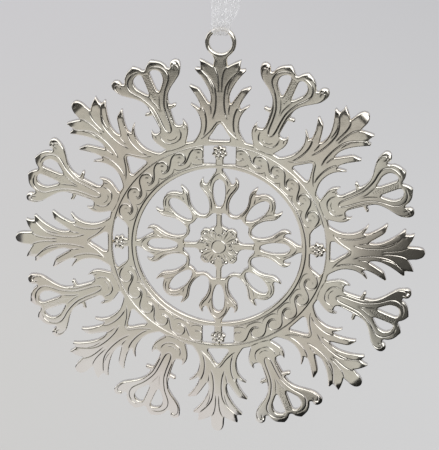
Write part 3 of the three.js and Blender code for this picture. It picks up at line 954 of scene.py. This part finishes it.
# The waves rise clockwise from W to N and from E to S, and are mirrored in the other two quarters
def scrollLines():
    lines, raisedSpots = [], []
    radius = ring["scrollRadius"]
    perMm = math.degrees(1 / radius)

    def bendRound(points, centre, side, flip):
        found = []
        for u, v in points:
            a = math.radians(side * (-centre + u * perMm))
            found.append((math.sin(a) * (radius + v), math.cos(a) * (radius + v) * flip))
        return found

    for centre in ring["scrollAngles"]:
        isLast = centre == ring["scrollAngles"][-1]
        line = wave["line"][wave["tail"]:] if isLast else wave["line"]
        for side in (1, -1):
            for flip in (1, -1):
                lines.append((bendRound(line, centre, side, flip), wave["depth"], wave["halfWidth"]))
                scallop = bendRound(wave["scallop"], centre, side, flip)
                lines.append((scallop, wave["scallopDepth"], wave["scallopHalfWidth"]))
                for x, y, size, height in (wave["disc"], wave["bead"], wave["curlBead"]):
                    (place,) = bendRound([(x, y)], centre, side, flip)
                    raisedSpots.append((*place, size, height))
    return lines, raisedSpots


def ringElement():
    step = relief["outlineStep"]
    outer = arc(ringOuter, 0, 360, step)[:-1]
    inner = arc(ringInner, 0, 360, step)[:-1]
    innerFree = (np.abs(inner) > ring["topBlockHalfWidth"]).all(axis=1)
    holes = [(inner, innerFree)]
    half, top = ring["flowerFoot"]
    for turn in range(4):
        points, free = windowLoop(turn % 2 == 1, step)
        underFlower = (np.abs(points[:, 0]) < half) & (points[:, 1] < top)
        holes.append((turned(points, turn * 90), free & ~underFlower))
    lines, raisedSpots = scrollLines()
    for radius, depth, width in ring["edgeLines"]:
        lines.append(([tuple(p) for p in arc(radius, 0, 360, ring["edgeLineStep"])], depth, width))
    return Element((outer, np.zeros(len(outer), bool)), holes, lines, raisedSpots).build()


flower = {
    "sunk": 0.02,  # into the window's top
    "radius": 1.38,
    "lobe": 0.14,
    "lobes": 7,
    "stemHalfWidth": 0.8,
    "start": 150,
    "outlinePoints": 64,
    "eye": (0.36, 0.1),
    "petalBead": (0.85, 0.36, 0.06),
    "pit": (0.5, 0.13, 0.08),
    "notch": (1.28, 0.12, 0.1),
    "parting": (0.45, 1.3),
    "partingLine": (0.1, 0.15),
    "edge": {"edgeWidth": 0.2, "gridStep": 0.13, "crown": 0.0},
}


def flowerElement(foot):
    centre = ring["windowTop"] - flower["radius"] - flower["lobe"] + flower["sunk"]
    lobes = flower["lobes"]
    a = np.radians(np.linspace(flower["start"], 0, flower["outlinePoints"]))
    radius = flower["radius"] + flower["lobe"] * np.cos(lobes * a)
    petals = [tuple(p) for p in np.column_stack([radius * np.sin(a), centre + radius * np.cos(a)])]
    stem = flower["stemHalfWidth"]
    foot = foot - overlap
    strokes = [["seam", (0, foot), (stem, foot)], [(stem, foot), petals[0]], petals]
    outline = mirrored(*drawStrokes(strokes, relief["outlineStep"]))
    grooves, domes, pits = [], [(0, centre, *flower["eye"])], []
    for i in range(lobes):
        turn = 2 * math.pi * i / lobes
        half = turn + math.pi / lobes
        reach, size, height = flower["petalBead"]
        domes.append((reach * math.sin(turn), centre + reach * math.cos(turn), size, height))
        ends = [(r * math.sin(half), centre + r * math.cos(half)) for r in flower["parting"]]
        grooves.append((ends, *flower["partingLine"]))
        for reach, size, drop in (flower["pit"], flower["notch"]):
            pits.append((reach * math.sin(half), centre + reach * math.cos(half), size, drop))
    return Element(outline, (), grooves, domes, pits, options=flower["edge"]).build()


# Hanging eye on its neck
eye = {
    "holeRadius": 2.15,
    "barWidth": 0.85,
    "centre": 41.3,
    "neckFoot": 36.6,
    "neck": [(1.4, -0.05), (1.3, 0.71), (1.25, 1.33), (1.5, 1.97)],
    "neckLine": ([(0.75, 0.5), (0.7, 1.3), (0.95, 2.0)], 0.1, 0.18),
    "ringFrom": 142,
    "edge": {"edgeWidth": 0.42, "edgeDrop": 0.34, "edgeRows": (0.04, 0.1, 0.18, 0.28, 0.4), "crown": 0.0,
             "backEdgeWidth": 0.4, "backEdgeDrop": 0.3, "backRows": (0.05, 0.12, 0.22, 0.36)},
}


def eyeElement():
    step = relief["outlineStep"]
    foot = eye["neckFoot"]
    neck = [(x, foot + y) for x, y in eye["neck"]]
    radius = eye["holeRadius"] + eye["barWidth"]
    circle = [tuple(p) for p in arc(radius, eye["ringFrom"], 0, step, eye["centre"])]
    strokes = [["seam", (0, neck[0][1]), neck[0]], neck, circle]
    outline = mirrored(*drawStrokes(strokes, step))
    hole = arc(eye["holeRadius"], 0, 360, step, eye["centre"])[:-1]
    points, depth, width = eye["neckLine"]
    grooves = both([([(x, foot + y) for x, y in points], depth, width)])
    return Element(outline, [(hole, np.ones(len(hole), bool))], grooves, options=eye["edge"]).build()


# Silver plate: bright polish with fine hairlines, darker where the polish doesn't reach
silver = {
    "bright": (0.825, 0.795, 0.685, 1),
    "warm": (0.785, 0.725, 0.62, 1),
    "dark": (0.20, 0.185, 0.155, 1),
    "roughness": (0.07, 0.19),
    "smear": (520.0, 4.0, 0.6),
    "smearFrom": (0.3, 0.72),
    "groove": (0.012, 0.075),
    "tarnish": (260.0, 3.0, 0.6),
    "tarnishFrom": (0.3, 0.7),
    "tarnishTo": (0.5, 0.85),
    "tarnishRoughness": 0.12,
    "cloud": (75.0, 2.0, 0.5),
    "cloudFrom": (0.35, 0.65),
    "hairline": (1.0, 3.0, 0.6),
    "hairlineStretch": (900.0, 900.0, 9000.0),
    "hairlineStrength": 0.02,
    "hairlineDepth": 0.0002,
}


def silverMaterial():
    material, nodes = newMaterial("silverPlate")
    where = nodes.add("ShaderNodeTexCoord").outputs["Object"]
    groove = nodes.attribute("groove")
    tarnish = nodes.noise(*silver["tarnish"], where)
    inGroove = nodes.span(groove, *silver["groove"])
    spots = nodes.span(tarnish, *silver["tarnishFrom"], *silver["tarnishTo"])
    worn = nodes.math("MULTIPLY", inGroove, spots)
    cloud = nodes.span(nodes.noise(*silver["cloud"], where), *silver["cloudFrom"])
    colour = nodes.mix(worn, nodes.mix(cloud, silver["bright"], silver["warm"]), silver["dark"])
    stretch = nodes.add("ShaderNodeMapping", {"Vector": where, "Scale": silver["hairlineStretch"]})
    hairline = nodes.noise(*silver["hairline"], stretch.outputs[0])
    smear = nodes.noise(*silver["smear"], where)
    rough = nodes.span(smear, *silver["smearFrom"], *silver["roughness"])
    rough = nodes.math("ADD", rough, nodes.math("MULTIPLY", worn, silver["tarnishRoughness"]))
    bump = nodes.add("ShaderNodeBump", {"Strength": silver["hairlineStrength"],
                                        "Distance": silver["hairlineDepth"], "Height": hairline})
    inputs = {"Base Color": colour, "Roughness": rough, "Metallic": 1.0, "Normal": bump.outputs[0]}
    shader = nodes.add("ShaderNodeBsdfPrincipled", inputs)
    nodes.add("ShaderNodeOutputMaterial", {"Surface": shader.outputs[0]})
    return material


plateMaterial = silverMaterial()
compass = ["n", "ne", "e", "se", "s", "sw", "w", "nw"]
halfCompass = ["nne", "ene", "ese", "sse", "ssw", "wsw", "wnw", "nnw"]


def makePlate():
    pieces = [placeElement("ring", ringElement(), 0, "ring_band")]
    print("stage: ring chased")
    pieces.append(placeElement("rosette", rosetteElement(), 0, "centre_rosette"))
    flowers = [flowerElement(ring["windowFoot"]), flowerElement(ring["sideWindowFoot"])]
    for turn in range(4):
        name = compass[2 * turn]
        pieces.append(placeElement(f"flower_{name}", flowers[turn % 2], turn * 90, f"ring_flower_{name}"))
    upright, slant = tulipElement("upright"), tulipElement("slant")
    print("stage: middle chased")
    full, cut, blossom = palmetteElement(True), palmetteElement(False), lilyElement()
    for i, name in enumerate(compass):
        angle = i * 45
        tulip, leaf = (slant if i % 2 else upright), (full if i else cut)
        pieces.append(placeElement(f"tulip_{name}_chased", tulip, angle, f"tulip_{name}"))
        pieces.append(placeElement(f"palmette_{name}_chased", leaf, angle, f"palmette_{name}"))
        half = halfCompass[i]
        pieces.append(placeElement(f"lily_{half}_chased", blossom, angle + 22.5, f"lily_{half}"))
    pieces.append(placeElement("eye", eyeElement(), 0, "hanging_eye"))
    for piece in pieces:
        piece.data.materials.append(plateMaterial)
    print("stage: plate chased,", sum(len(p.data.polygons) for p in pieces), "faces")


makePlate()


# Ribbon: a sheer woven band through the eye, knotted above it, with its loop over the knot
ribbon = {
    "halfWidth": 2.7,
    "thickness": 0.11,
    "columns": 40,
    "selvedge": 0.22,
    "knotLevel": 65.375,
    "sharpDegrees": 60,
}


# A thin woven band along a path. The lift raises each column off the middle plane
def makeStrip(name, path, across, halfWidths, lift, ends=None):
    across = np.array(across, float)
    columns = np.linspace(-1, 1, ribbon["columns"] + 1)
    shares = np.linspace(0, 1, len(path))[:, None]
    along = np.gradient(path, axis=0)
    along /= np.linalg.norm(along, axis=1)[:, None]
    normal = np.cross(across, along)
    normal /= np.linalg.norm(normal, axis=1)[:, None]
    offset = lift(columns[None, :], shares)
    middle = path[:, None] + across * (columns[None, :, None] * halfWidths[:, None, None])
    middle = middle + normal[:, None] * offset[:, :, None]
    if ends is not None:
        middle = middle + along[:, None] * ends(columns[None, :], shares)[:, :, None]
    facing = np.cross(np.gradient(middle, axis=1), np.gradient(middle, axis=0))
    facing /= np.maximum(np.linalg.norm(facing, axis=2), 1e-9)[:, :, None]
    half = ribbon["thickness"] / 2
    rows, cols = middle.shape[:2]
    vertices = np.concatenate([(middle + facing * side).reshape(-1, 3) for side in (half, -half)])
    index = np.arange(rows * cols).reshape(rows, cols)
    a, b, c, d = index[:-1, :-1], index[:-1, 1:], index[1:, 1:], index[1:, :-1]
    top = np.stack([a, b, c, d], -1).reshape(-1, 4)
    shift = rows * cols
    rim = np.concatenate([index[0, :-1], index[:-1, -1], index[-1, :0:-1], index[:0:-1, 0]])
    after = np.roll(rim, -1)
    sides = np.column_stack([after, rim, rim + shift, after + shift])
    faces = np.vstack([top, top[:, ::-1] + shift, sides])
    u = np.broadcast_to(columns[None, :], (rows, cols)).ravel()
    steps = np.linalg.norm(np.diff(path, axis=0), axis=1)
    v = np.broadcast_to(np.concatenate([[0], np.cumsum(steps)])[:, None], (rows, cols)).ravel()
    attributes = {"across": np.tile(u, 2), "along": np.tile(v, 2)}
    return makeMesh(name, fromPlate(vertices), faces, ribbon["sharpDegrees"], attributes)


# Two strands through the eye, gathered over its bar and again at the knot
strandShape = {
    "top": 62.325,
    "barLevel": 43.875,
    "bendRadius": 1.1503,
    "rowStep": 0.3,
    "bightSteps": 19,
    "barHalfWidth": 1.72,
    "holeHalfWidth": 1.26,
    "holeDepth": 0.75,
    "gatherLength": 5.5,
    "knotHalfWidth": 2.1,
    "knotFrom": (14.0, 4.5),
    "knotFold": 0.9,
    "lean": 0.9,
    "leanFoot": 5.0,
    "leanTop": (17.0, 9.0),
    "pleats": 5,
    "pleat": (0.17, 0.7, 0.25),  # depth, start and turn along the ribbon
    "calm": (0.25, 0.75, 0.9, 1.8),  # the pleats are shallow where they turn round the bar
    "curls": ((0.10, 2.2, 0.35), (0.06, 3.1, 0.8)),
}


def strandPath():  # down in front of the eye's bar, round under it and up behind
    level, top, radius = strandShape["barLevel"], strandShape["top"], strandShape["bendRadius"]
    count = math.ceil((top - level) / strandShape["rowStep"])
    down = np.linspace(top, level, count + 1)[:-1]
    front = np.column_stack([0 * down, 0 * down - radius, down])
    a = np.linspace(0, math.pi, strandShape["bightSteps"])
    bight = np.column_stack([0 * a, -radius * np.cos(a), level - radius * np.sin(a)])
    return np.vstack([front, bight, (front * (1, -1, 1))[::-1]])


def makeStrands():
    s = strandShape
    path = strandPath()
    height = path[:, 2] - s["barLevel"]
    gather = smooth(1 - height / s["gatherLength"])
    low, reach = s["knotFrom"]
    atKnot = smooth((height - low) / reach)
    inHole = smooth(-height / s["holeDepth"])
    bar = s["barHalfWidth"] + (s["holeHalfWidth"] - s["barHalfWidth"]) * inHole
    halfWidths = ribbon["halfWidth"] + (bar - ribbon["halfWidth"]) * gather
    halfWidths = halfWidths + (s["knotHalfWidth"] - halfWidths) * atKnot

    def lift(u, _):
        h = height[:, None]
        fold = np.maximum(gather, atKnot * s["knotFold"])[:, None]
        least, more, below, over = s["calm"]
        calm = least + more * smooth((h + below) / over)
        depth, start, turn = s["pleat"]
        pleat = depth * fold * calm * np.sin(s["pleats"] * math.pi * u + start + turn * h)
        return pleat + sum(rise * (1 - fold) * np.sin(wide * u + long * h) for rise, wide, long in s["curls"])

    high, reach = s["leanTop"]
    lean = s["lean"] * smooth(height / s["leanFoot"]) * smooth((high - height) / reach)
    path = path + np.column_stack([lean, 0 * lean, 0 * lean])
    piece = makeStrip("ribbonStrands", path, (1, 0, 0), halfWidths, lift)
    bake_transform(piece)
    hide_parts("ribbon_bight", "ribbon_front_strand", "ribbon_back_strand")
    return piece


# A flattened ball of wrapped bands: two cross in front, over the drawn-in strands
knotShape = {
    "radius": 2.9,
    "depth": 0.8,
    "rows": 110,
    "cols": 170,
    "core": (0.86, 0.05),
    "ripple": (0.018, 11, 2.0),
    # each band: its tilt across and up, half its width, its height and its phase
    "bands": ((0.35, 0.94, 0.38, 0.085, 0.2), (-0.62, 0.78, 0.30, 0.06, 1.9), (0.02, 1.0, 0.24, 0.10, 4.1)),
    "bandFoot": 0.87,
    "bandEdge": 0.07,
    "bandSlant": 0.10,
    "bandWave": 0.05,
    "bandPleat": (0.022, 7.5, 0.6),
    "weaveSlant": 0.3,
    "sharpDegrees": 70,
}


def makeKnot():
    rows, cols = knotShape["rows"], knotShape["cols"]
    polar = np.linspace(0, math.pi, rows + 1)[1:-1, None]
    turn = np.linspace(0, 2 * math.pi, cols + 1)[None, :-1]
    x = np.sin(polar) * np.cos(turn)
    y = np.sin(polar) * np.sin(turn)
    z = np.cos(polar) * np.ones_like(turn)
    core, waist = knotShape["core"]
    ripple, count, twist = knotShape["ripple"]
    pleatDepth, pleats, wander = knotShape["bandPleat"]
    radius = core - waist * np.cos(2 * polar) + ripple * np.sin(count * turn + twist * z) * np.sin(polar)
    for tiltX, tiltZ, width, height, phase in knotShape["bands"]:
        size, wave = math.hypot(tiltX, tiltZ), np.sin(2 * turn + phase)
        away = (x * tiltX + z * tiltZ) / size + knotShape["bandSlant"] * y + knotShape["bandWave"] * wave
        edge = smooth((width - np.abs(away)) / knotShape["bandEdge"])
        pleat = pleatDepth * np.sin(away / width * pleats + phase + wander * wave)
        band = knotShape["bandFoot"] + height + pleat
        radius = np.maximum(radius, band * edge + radius * (1 - edge))
    radius = radius / radius.max()
    size = knotShape["radius"]
    points = np.stack([x * radius * size, y * radius * size * knotShape["depth"], z * radius * size], -1)
    points = points.reshape(-1, 3)
    ends = np.array([[0, 0, radius[0].mean() * size], [0, 0, -radius[-1].mean() * size]])
    vertices = np.vstack([points, ends]) + (0, 0, ribbon["knotLevel"])
    index = np.arange(len(points)).reshape(rows - 1, cols)
    after = np.roll(index, -1, axis=1)
    faces = [list(f) for f in np.stack([index[:-1], index[1:], after[1:], after[:-1]], -1).reshape(-1, 4)]
    top, bottom = len(points), len(points) + 1
    faces += [[top, a, b] for a, b in zip(index[0], after[0])]
    faces += [[bottom, b, a] for a, b in zip(index[-1], after[-1])]
    across = np.concatenate([(z + knotShape["weaveSlant"] * x).ravel(), [1, -1]])
    along = np.concatenate([(turn + 0 * z).ravel() * size, [0, 0]])
    weave = {"across": across, "along": along}
    piece = makeMesh("ribbonKnot", fromPlate(vertices), faces, knotShape["sharpDegrees"], weave)
    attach(piece, "knot")
    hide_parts("ribbon_knot")
    return piece


# The two ends bow outwards and down, and are cut in a V
endShape = {
    "start": 3.2,
    "reach": 8.0,
    "drop": 6.5,
    "bow": (0.6, 0.15),
    "inKnot": -0.12,
    "rows": 36,
    "footHalfWidth": 1.5,
    "gatherShare": 0.45,
    "pleat": (0.16, 4, 1.0),
    "curl": (0.12, 2.0, 5),
    "cut": (1.5, 0.8, 0.2),
}


def makeEnd(side, name):
    start, reach, drop = endShape["start"], endShape["reach"], endShape["drop"]
    out, down = endShape["bow"]
    level = ribbon["knotLevel"]
    t = np.linspace(endShape["inKnot"], 1, endShape["rows"])[:, None]
    a = np.array([side * start, 0, level])
    b = np.array([side * (start + reach * out), 0, level - drop * down])
    c = np.array([side * (start + reach), 0, level - drop])
    path = a * (1 - t) ** 2 + 2 * b * t * (1 - t) + c * t ** 2
    foot, share = endShape["footHalfWidth"], endShape["gatherShare"]
    halfWidths = foot + (ribbon["halfWidth"] - foot) * smooth(np.linspace(0, 1, len(path)) / share)

    def lift(u, s):
        gather = smooth(1 - s / share)
        depth, pleats, start = endShape["pleat"]
        rise, wide, long = endShape["curl"]
        pleat = depth * gather * np.sin(pleats * math.pi * u + start)
        return pleat + rise * (1 - gather) * np.sin(wide * u + long * s)

    def vCut(u, s):
        depth, low, over = endShape["cut"]
        return -depth * (1 - np.abs(u)) * smooth((s - low) / over)

    piece = makeStrip(name, path, (0, 1, 0), halfWidths, lift, vCut)
    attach(piece, "knot")
    return piece


# A teardrop: its legs start close together in the knot, swell apart and round over at the top
loopShape = {
    "foot": 68.575,
    "rise": 33.65,
    "halfWidth": 6.5,
    "legHalfGap": 0.9,
    "rows": 201,
    "swell": (2.1, 0.55, 6),
    "inKnot": (0.9, 0.15, 4),
    "gatherLength": 5.0,
    "gathered": 1.2,
    "pleat": (0.15, 4, 0.5),
    "curl": (0.12, 1.9, 9),
}


def makeLoop():
    a = np.linspace(0, math.pi, loopShape["rows"])
    rise = np.sin(a)
    most, less, power = loopShape["swell"]
    swell = most * rise ** 2 * (1 - less * rise ** power)
    narrow, foot = loopShape["legHalfGap"], loopShape["foot"]
    across = narrow + (loopShape["halfWidth"] - narrow) * swell
    path = np.column_stack([np.cos(a) * across, 0 * a, foot + loopShape["rise"] * rise])
    inKnot = path[0] - np.linspace(*loopShape["inKnot"])[:, None] * (0, 0, 1)
    path = np.vstack([inKnot, path, (inKnot * (-1, 1, 1))[::-1]])
    gather = smooth(1 - (path[:, 2] - foot) / loopShape["gatherLength"])
    halfWidths = ribbon["halfWidth"] - loopShape["gathered"] * gather

    def lift(u, s):
        fold = gather[:, None]
        depth, pleats, start = loopShape["pleat"]
        rise, wide, long = loopShape["curl"]
        pleat = depth * fold * np.sin(pleats * math.pi * u + start)
        return pleat + rise * (1 - fold) * np.sin(wide * u + long * s) * np.sin(math.pi * s)

    piece = makeStrip("ribbonLoop", path, (0, 1, 0), halfWidths, lift)
    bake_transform(piece)
    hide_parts("ribbon_hanging_loop")
    return piece


# Organza: sheer white threads with closer selvedges and short slanting painted glints
organza = {
    "white": (0.89, 0.885, 0.875, 1),
    "paintedGlint": (0.99, 0.985, 0.97, 1),
    "cover": 0.31,
    "threadCover": 0.16,
    "selvedgeCover": 0.5,
    "threadCount": 9.0,
    "threadHeight": 0.00006,
    "threadBump": 0.3,
    "roughness": 0.5,
    "sheen": 0.3,
    "through": 0.4,
    # painted glints: their brighter white, how strongly they cover, and where and how they slant
    "paintedGlintCover": 0.95,
    "paintedGlintFrom": (0.58, 0.66),
    "paintedGlintNoise": (1.3, 1.0, 0.4),
    "paintedGlintStretch": (3.4, 0.85, 1),
    "paintedGlintSlant": 27,
}


def organzaMaterial():
    material, nodes = newMaterial("organza")
    u, v = nodes.attribute("across"), nodes.attribute("along")
    half, selvedge = ribbon["halfWidth"], ribbon["selvedge"]
    width = nodes.math("MULTIPLY", u, half)
    waves = 2 * math.pi * organza["threadCount"] / 2
    weft = nodes.math("SINE", nodes.math("MULTIPLY", v, waves))
    warp = nodes.math("SINE", nodes.math("MULTIPLY", width, waves))
    weave = nodes.math("MAXIMUM", weft, warp)
    edge = nodes.span(nodes.math("ABSOLUTE", u), 1 - 2 * selvedge / half, 1 - selvedge / half)
    place = nodes.add("ShaderNodeCombineXYZ", {0: width, 1: v}).outputs[0]
    # painted glints: slanting streaks where the threads are painted a brighter white and cover more
    turn = (0, 0, math.radians(organza["paintedGlintSlant"]))
    slant = nodes.add("ShaderNodeMapping", {"Vector": place, "Rotation": turn,
                                            "Scale": organza["paintedGlintStretch"]}).outputs[0]
    paintedGlint = nodes.span(nodes.noise(*organza["paintedGlintNoise"], slant), *organza["paintedGlintFrom"])
    paintedGlintCover = nodes.math("MULTIPLY", paintedGlint, organza["paintedGlintCover"])
    colour = nodes.mix(paintedGlint, organza["white"], organza["paintedGlint"])
    cover = nodes.math("ADD", nodes.math("MULTIPLY", weave, organza["threadCover"]), organza["cover"])
    cover = nodes.math("MAXIMUM", cover, nodes.math("MULTIPLY", edge, organza["selvedgeCover"]))
    cover = nodes.math("MAXIMUM", cover, paintedGlintCover)
    bump = nodes.add("ShaderNodeBump", {"Strength": organza["threadBump"],
                                        "Distance": organza["threadHeight"], "Height": weave})
    thread = nodes.add("ShaderNodeBsdfPrincipled", {
        "Base Color": colour, "Roughness": organza["roughness"],
        "Sheen Weight": organza["sheen"], "Normal": bump.outputs[0],
    })
    through = nodes.add("ShaderNodeBsdfTranslucent", {"Color": colour})
    both = {0: organza["through"], 1: thread.outputs[0], 2: through.outputs[0]}
    cloth = nodes.add("ShaderNodeMixShader", both)
    gap = nodes.add("ShaderNodeBsdfTransparent", {"Color": (1, 1, 1, 1)})
    sheer = nodes.add("ShaderNodeMixShader", {0: cover, 1: gap.outputs[0], 2: cloth.outputs[0]})
    nodes.add("ShaderNodeOutputMaterial", {"Surface": sheer.outputs[0]})
    return material


def makeRibbon():
    strands, knot = makeStrands(), makeKnot()
    ends = []
    for side, name in ((-1, "left"), (1, "right")):
        end = makeEnd(side, f"ribbonEnd{name.capitalize()}")
        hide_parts(f"ribbon_end_{name}")
        ends.append(end)
    loop = makeLoop()
    material = organzaMaterial()
    for piece in (strands, knot, *ends, loop):
        piece.data.materials.append(material)
    print("stage: ribbon made")


makeRibbon()


# Stage: a pale floor that rises into a backdrop, with softboxes and dark cards that the polish mirrors. The
# floor's glow is painted light: a painted lit sheet and painted dark flags for reflections, and painted light
# falloff for the camera
stage = {
    "floorHeight": -0.165,
    "halfWidth": 1.6,
    "front": -1.7,
    "back": 1.5,
    "curve": 0.35,
    "curveSteps": 12,
    "top": 1.1,
    # painted light falloff: the floor and backdrop are lighter near the ornament and darker far and to the
    # right
    "farLeft": tone(201, 200, 203),
    "farRight": tone(193, 193, 195),
    "nearLeft": tone(203, 202, 200),
    "nearRight": tone(206, 206, 206),
    "nearY": 0.08,
    "farY": 0.45,
    "sideX": 0.055,
    "shadowShare": 0.15,
    # painted reflection: where the floor glows as a lit sheet for glossy rays, and how dark its painted flags
    # are
    "paintedSheetLeft": (-0.115, -0.075),
    "paintedSheetRight": (0.016, 0.052),
    "paintedSheetFront": (-0.33, -0.275),
    "underY": -0.045,
    "underSlant": 0.5,
    "underRight": (-0.0235, -0.0115),
    "nearSlant": -0.9,
    "nearFrom": (-0.074, -0.04),
    "nearGain": 1.32,
    "paintedNearSheet": tone(201, 201, 210),
    "behindFrom": (0.06, 0.12),
    "roomFrom": (-0.64, -0.6),
    "paintedFlagLevels": (0.13, 0.03),
    "paintedFlagFrom": (-0.1, -0.055),
    "lamp": (0.97, 0.985, 1.04, 1),
    "room": tone(203, 202, 203),
}


def floorMaterial():
    material, nodes = newMaterial("palePaperWithPaintedLight")
    position = nodes.add("ShaderNodeNewGeometry").outputs["Position"]
    split = nodes.add("ShaderNodeSeparateXYZ", {0: position})
    # painted light falloff across the floor, mixed from the near and far tones
    across = nodes.span(split.outputs[0], -stage["sideX"], stage["sideX"])
    away = nodes.span(split.outputs[1], stage["nearY"], stage["farY"])
    near = nodes.mix(across, stage["nearLeft"], stage["nearRight"])
    far = nodes.mix(across, stage["farLeft"], stage["farRight"])
    colour = nodes.mix(away, near, far)
    path = nodes.add("ShaderNodeLightPath").outputs
    light, paintedNearness = paintedMirroredLight(nodes, split.outputs)
    # painted reflection: glossy rays see the floor glow with the painted lit sheet and dark flags, tinted
    # near the ornament
    paintedReflectionPart = nodes.math("MULTIPLY", nodes.math("SUBTRACT", light, 1.0), path["Is Glossy Ray"])
    strength = nodes.math("ADD", paintedReflectionPart, 1.0)
    sheet = nodes.mix(nodes.math("MULTIPLY", paintedNearness, path["Is Glossy Ray"]), colour, stage["paintedNearSheet"])
    glow = nodes.add("ShaderNodeEmission", {"Color": sheet, "Strength": strength})
    paper = nodes.add("ShaderNodeBsdfDiffuse", {"Color": colour})
    seen = nodes.math("MAXIMUM", path["Is Camera Ray"], path["Is Transmission Ray"])
    seen = nodes.math("MULTIPLY", seen, 1 - stage["shadowShare"])
    share = nodes.math("MAXIMUM", seen, path["Is Glossy Ray"])
    surface = nodes.add("ShaderNodeMixShader", {0: share, 1: paper.outputs[0], 2: glow.outputs[0]})
    nodes.add("ShaderNodeOutputMaterial", {"Surface": surface.outputs[0]})
    return material


# The floor's glow in reflections is a painted reflection: a painted lit sheet in front of the ornament, with
# painted dark flags round it, which the polish mirrors
def paintedMirroredLight(nodes, place):
    x, y = place[0], place[1]
    left = nodes.span(x, *stage["paintedSheetLeft"], 0.0, 1.0, True)
    right = nodes.span(x, *stage["paintedSheetRight"], 1.0, 0.0, True)
    inFront = nodes.math("MULTIPLY", nodes.math("MINIMUM", y, stage["underY"]), stage["underSlant"])
    under = nodes.span(nodes.math("ADD", x, inFront), *stage["underRight"], 1.0, 0.0, True)
    front = nodes.span(y, *stage["paintedSheetFront"], 0.0, 1.0, True)
    slanted = nodes.math("ADD", y, nodes.math("MULTIPLY", x, stage["nearSlant"]))
    paintedNearness = nodes.span(slanted, *stage["nearFrom"], 0.0, 1.0, True)
    gain = nodes.math("MULTIPLY_ADD", paintedNearness, stage["nearGain"] - 1, 1.0)
    sides = nodes.math("MULTIPLY", left, nodes.math("MINIMUM", right, under))
    sheet = nodes.math("MULTIPLY", sides, nodes.math("MULTIPLY", front, gain))
    behind = nodes.span(y, *stage["behindFrom"], 0.0, 1.0, True)
    beyond = nodes.span(y, *stage["roomFrom"], 1.0, 0.0)
    lit = nodes.math("MAXIMUM", nodes.math("MAXIMUM", sheet, behind), beyond)
    flags = nodes.span(y, *stage["paintedFlagFrom"], *stage["paintedFlagLevels"])
    return nodes.math("MAXIMUM", lit, flags), paintedNearness


def stagePiece(name, vertices, faces, material):
    mesh = bpy.data.meshes.new(name)
    mesh.from_pydata(vertices, [], faces)
    thing = bpy.data.objects.new(name, mesh)
    bpy.context.scene.collection.objects.link(thing)
    thing.data.materials.append(material)
    return thing


def makeFloor():
    back, level, curve, steps = stage["back"], stage["floorHeight"], stage["curve"], stage["curveSteps"]
    profile = [(stage["front"], level), (back, level)]
    for i in range(1, steps + 1):
        a = math.radians(90 * i / steps)
        profile.append((back + curve * math.sin(a), level + curve * (1 - math.cos(a))))
    profile.append((back + curve, stage["top"]))
    half = stage["halfWidth"]
    vertices = [(side * half, y, z) for y, z in profile for side in (-1, 1)]
    faces = [(2 * i, 2 * i + 1, 2 * i + 3, 2 * i + 2) for i in range(len(profile) - 1)]
    floor = stagePiece("floor", vertices, faces, floorMaterial())
    for face in floor.data.polygons:
        face.use_smooth = True


def plainLight(name, level):
    material, nodes = newMaterial(name)
    light = nodes.add("ShaderNodeEmission", {"Color": stage["lamp"], "Strength": level})
    nodes.add("ShaderNodeOutputMaterial", {"Surface": light.outputs[0]})
    return material


# Each card has its centre, half of each of its sides, and its light
cards = {
    "softboxTop": ((0.10, -0.15, 0.46), (0.95, 0, 0), (0, 0.52, 0.10), 1.9),
    "softboxLeft": ((-0.62, 0.11, 0.12), (0, 0.21, 0), (0.05, 0, 0.27), 1.7),
    "flagLeft": ((-0.62, -0.37, 0.12), (0, 0.25, 0), (0.05, 0, 0.27), 0.03),
    "softboxFront": ((0.45, -0.66, 0.04), (0.33, 0, 0), (0, 0, 0.19), 2.7),
    "flagFront": ((-0.33, -0.66, -0.05), (0.42, 0, 0), (0, 0, 0.12), 0.03),
    "flagRight": ((0.56, -0.20, 0.0), (0, 0.46, 0), (0, 0, 0.17), 0.03),
}


def makeCards():
    for name, (centre, first, second, level) in cards.items():
        c, u, v = Vector(centre), Vector(first), Vector(second)
        corners = [c - u - v, c + u - v, c + u + v, c - u + v]
        card = stagePiece(name, corners, [(0, 1, 2, 3)], plainLight(name, level))
        card.visible_camera = False
        card.visible_shadow = False
        card.visible_diffuse = name in ("softboxTop", "softboxLeft")


def makeWorld():
    world = bpy.data.worlds.new("studio")
    bpy.context.scene.world = world
    world.use_nodes = True
    nodes = Nodes(world.node_tree)
    room = nodes.add("ShaderNodeBackground", {"Color": stage["room"], "Strength": 1.0})
    nodes.add("ShaderNodeOutputWorld", {"Surface": room.outputs[0]})


makeFloor()
makeCards()
makeWorld()
print("stage: studio set")
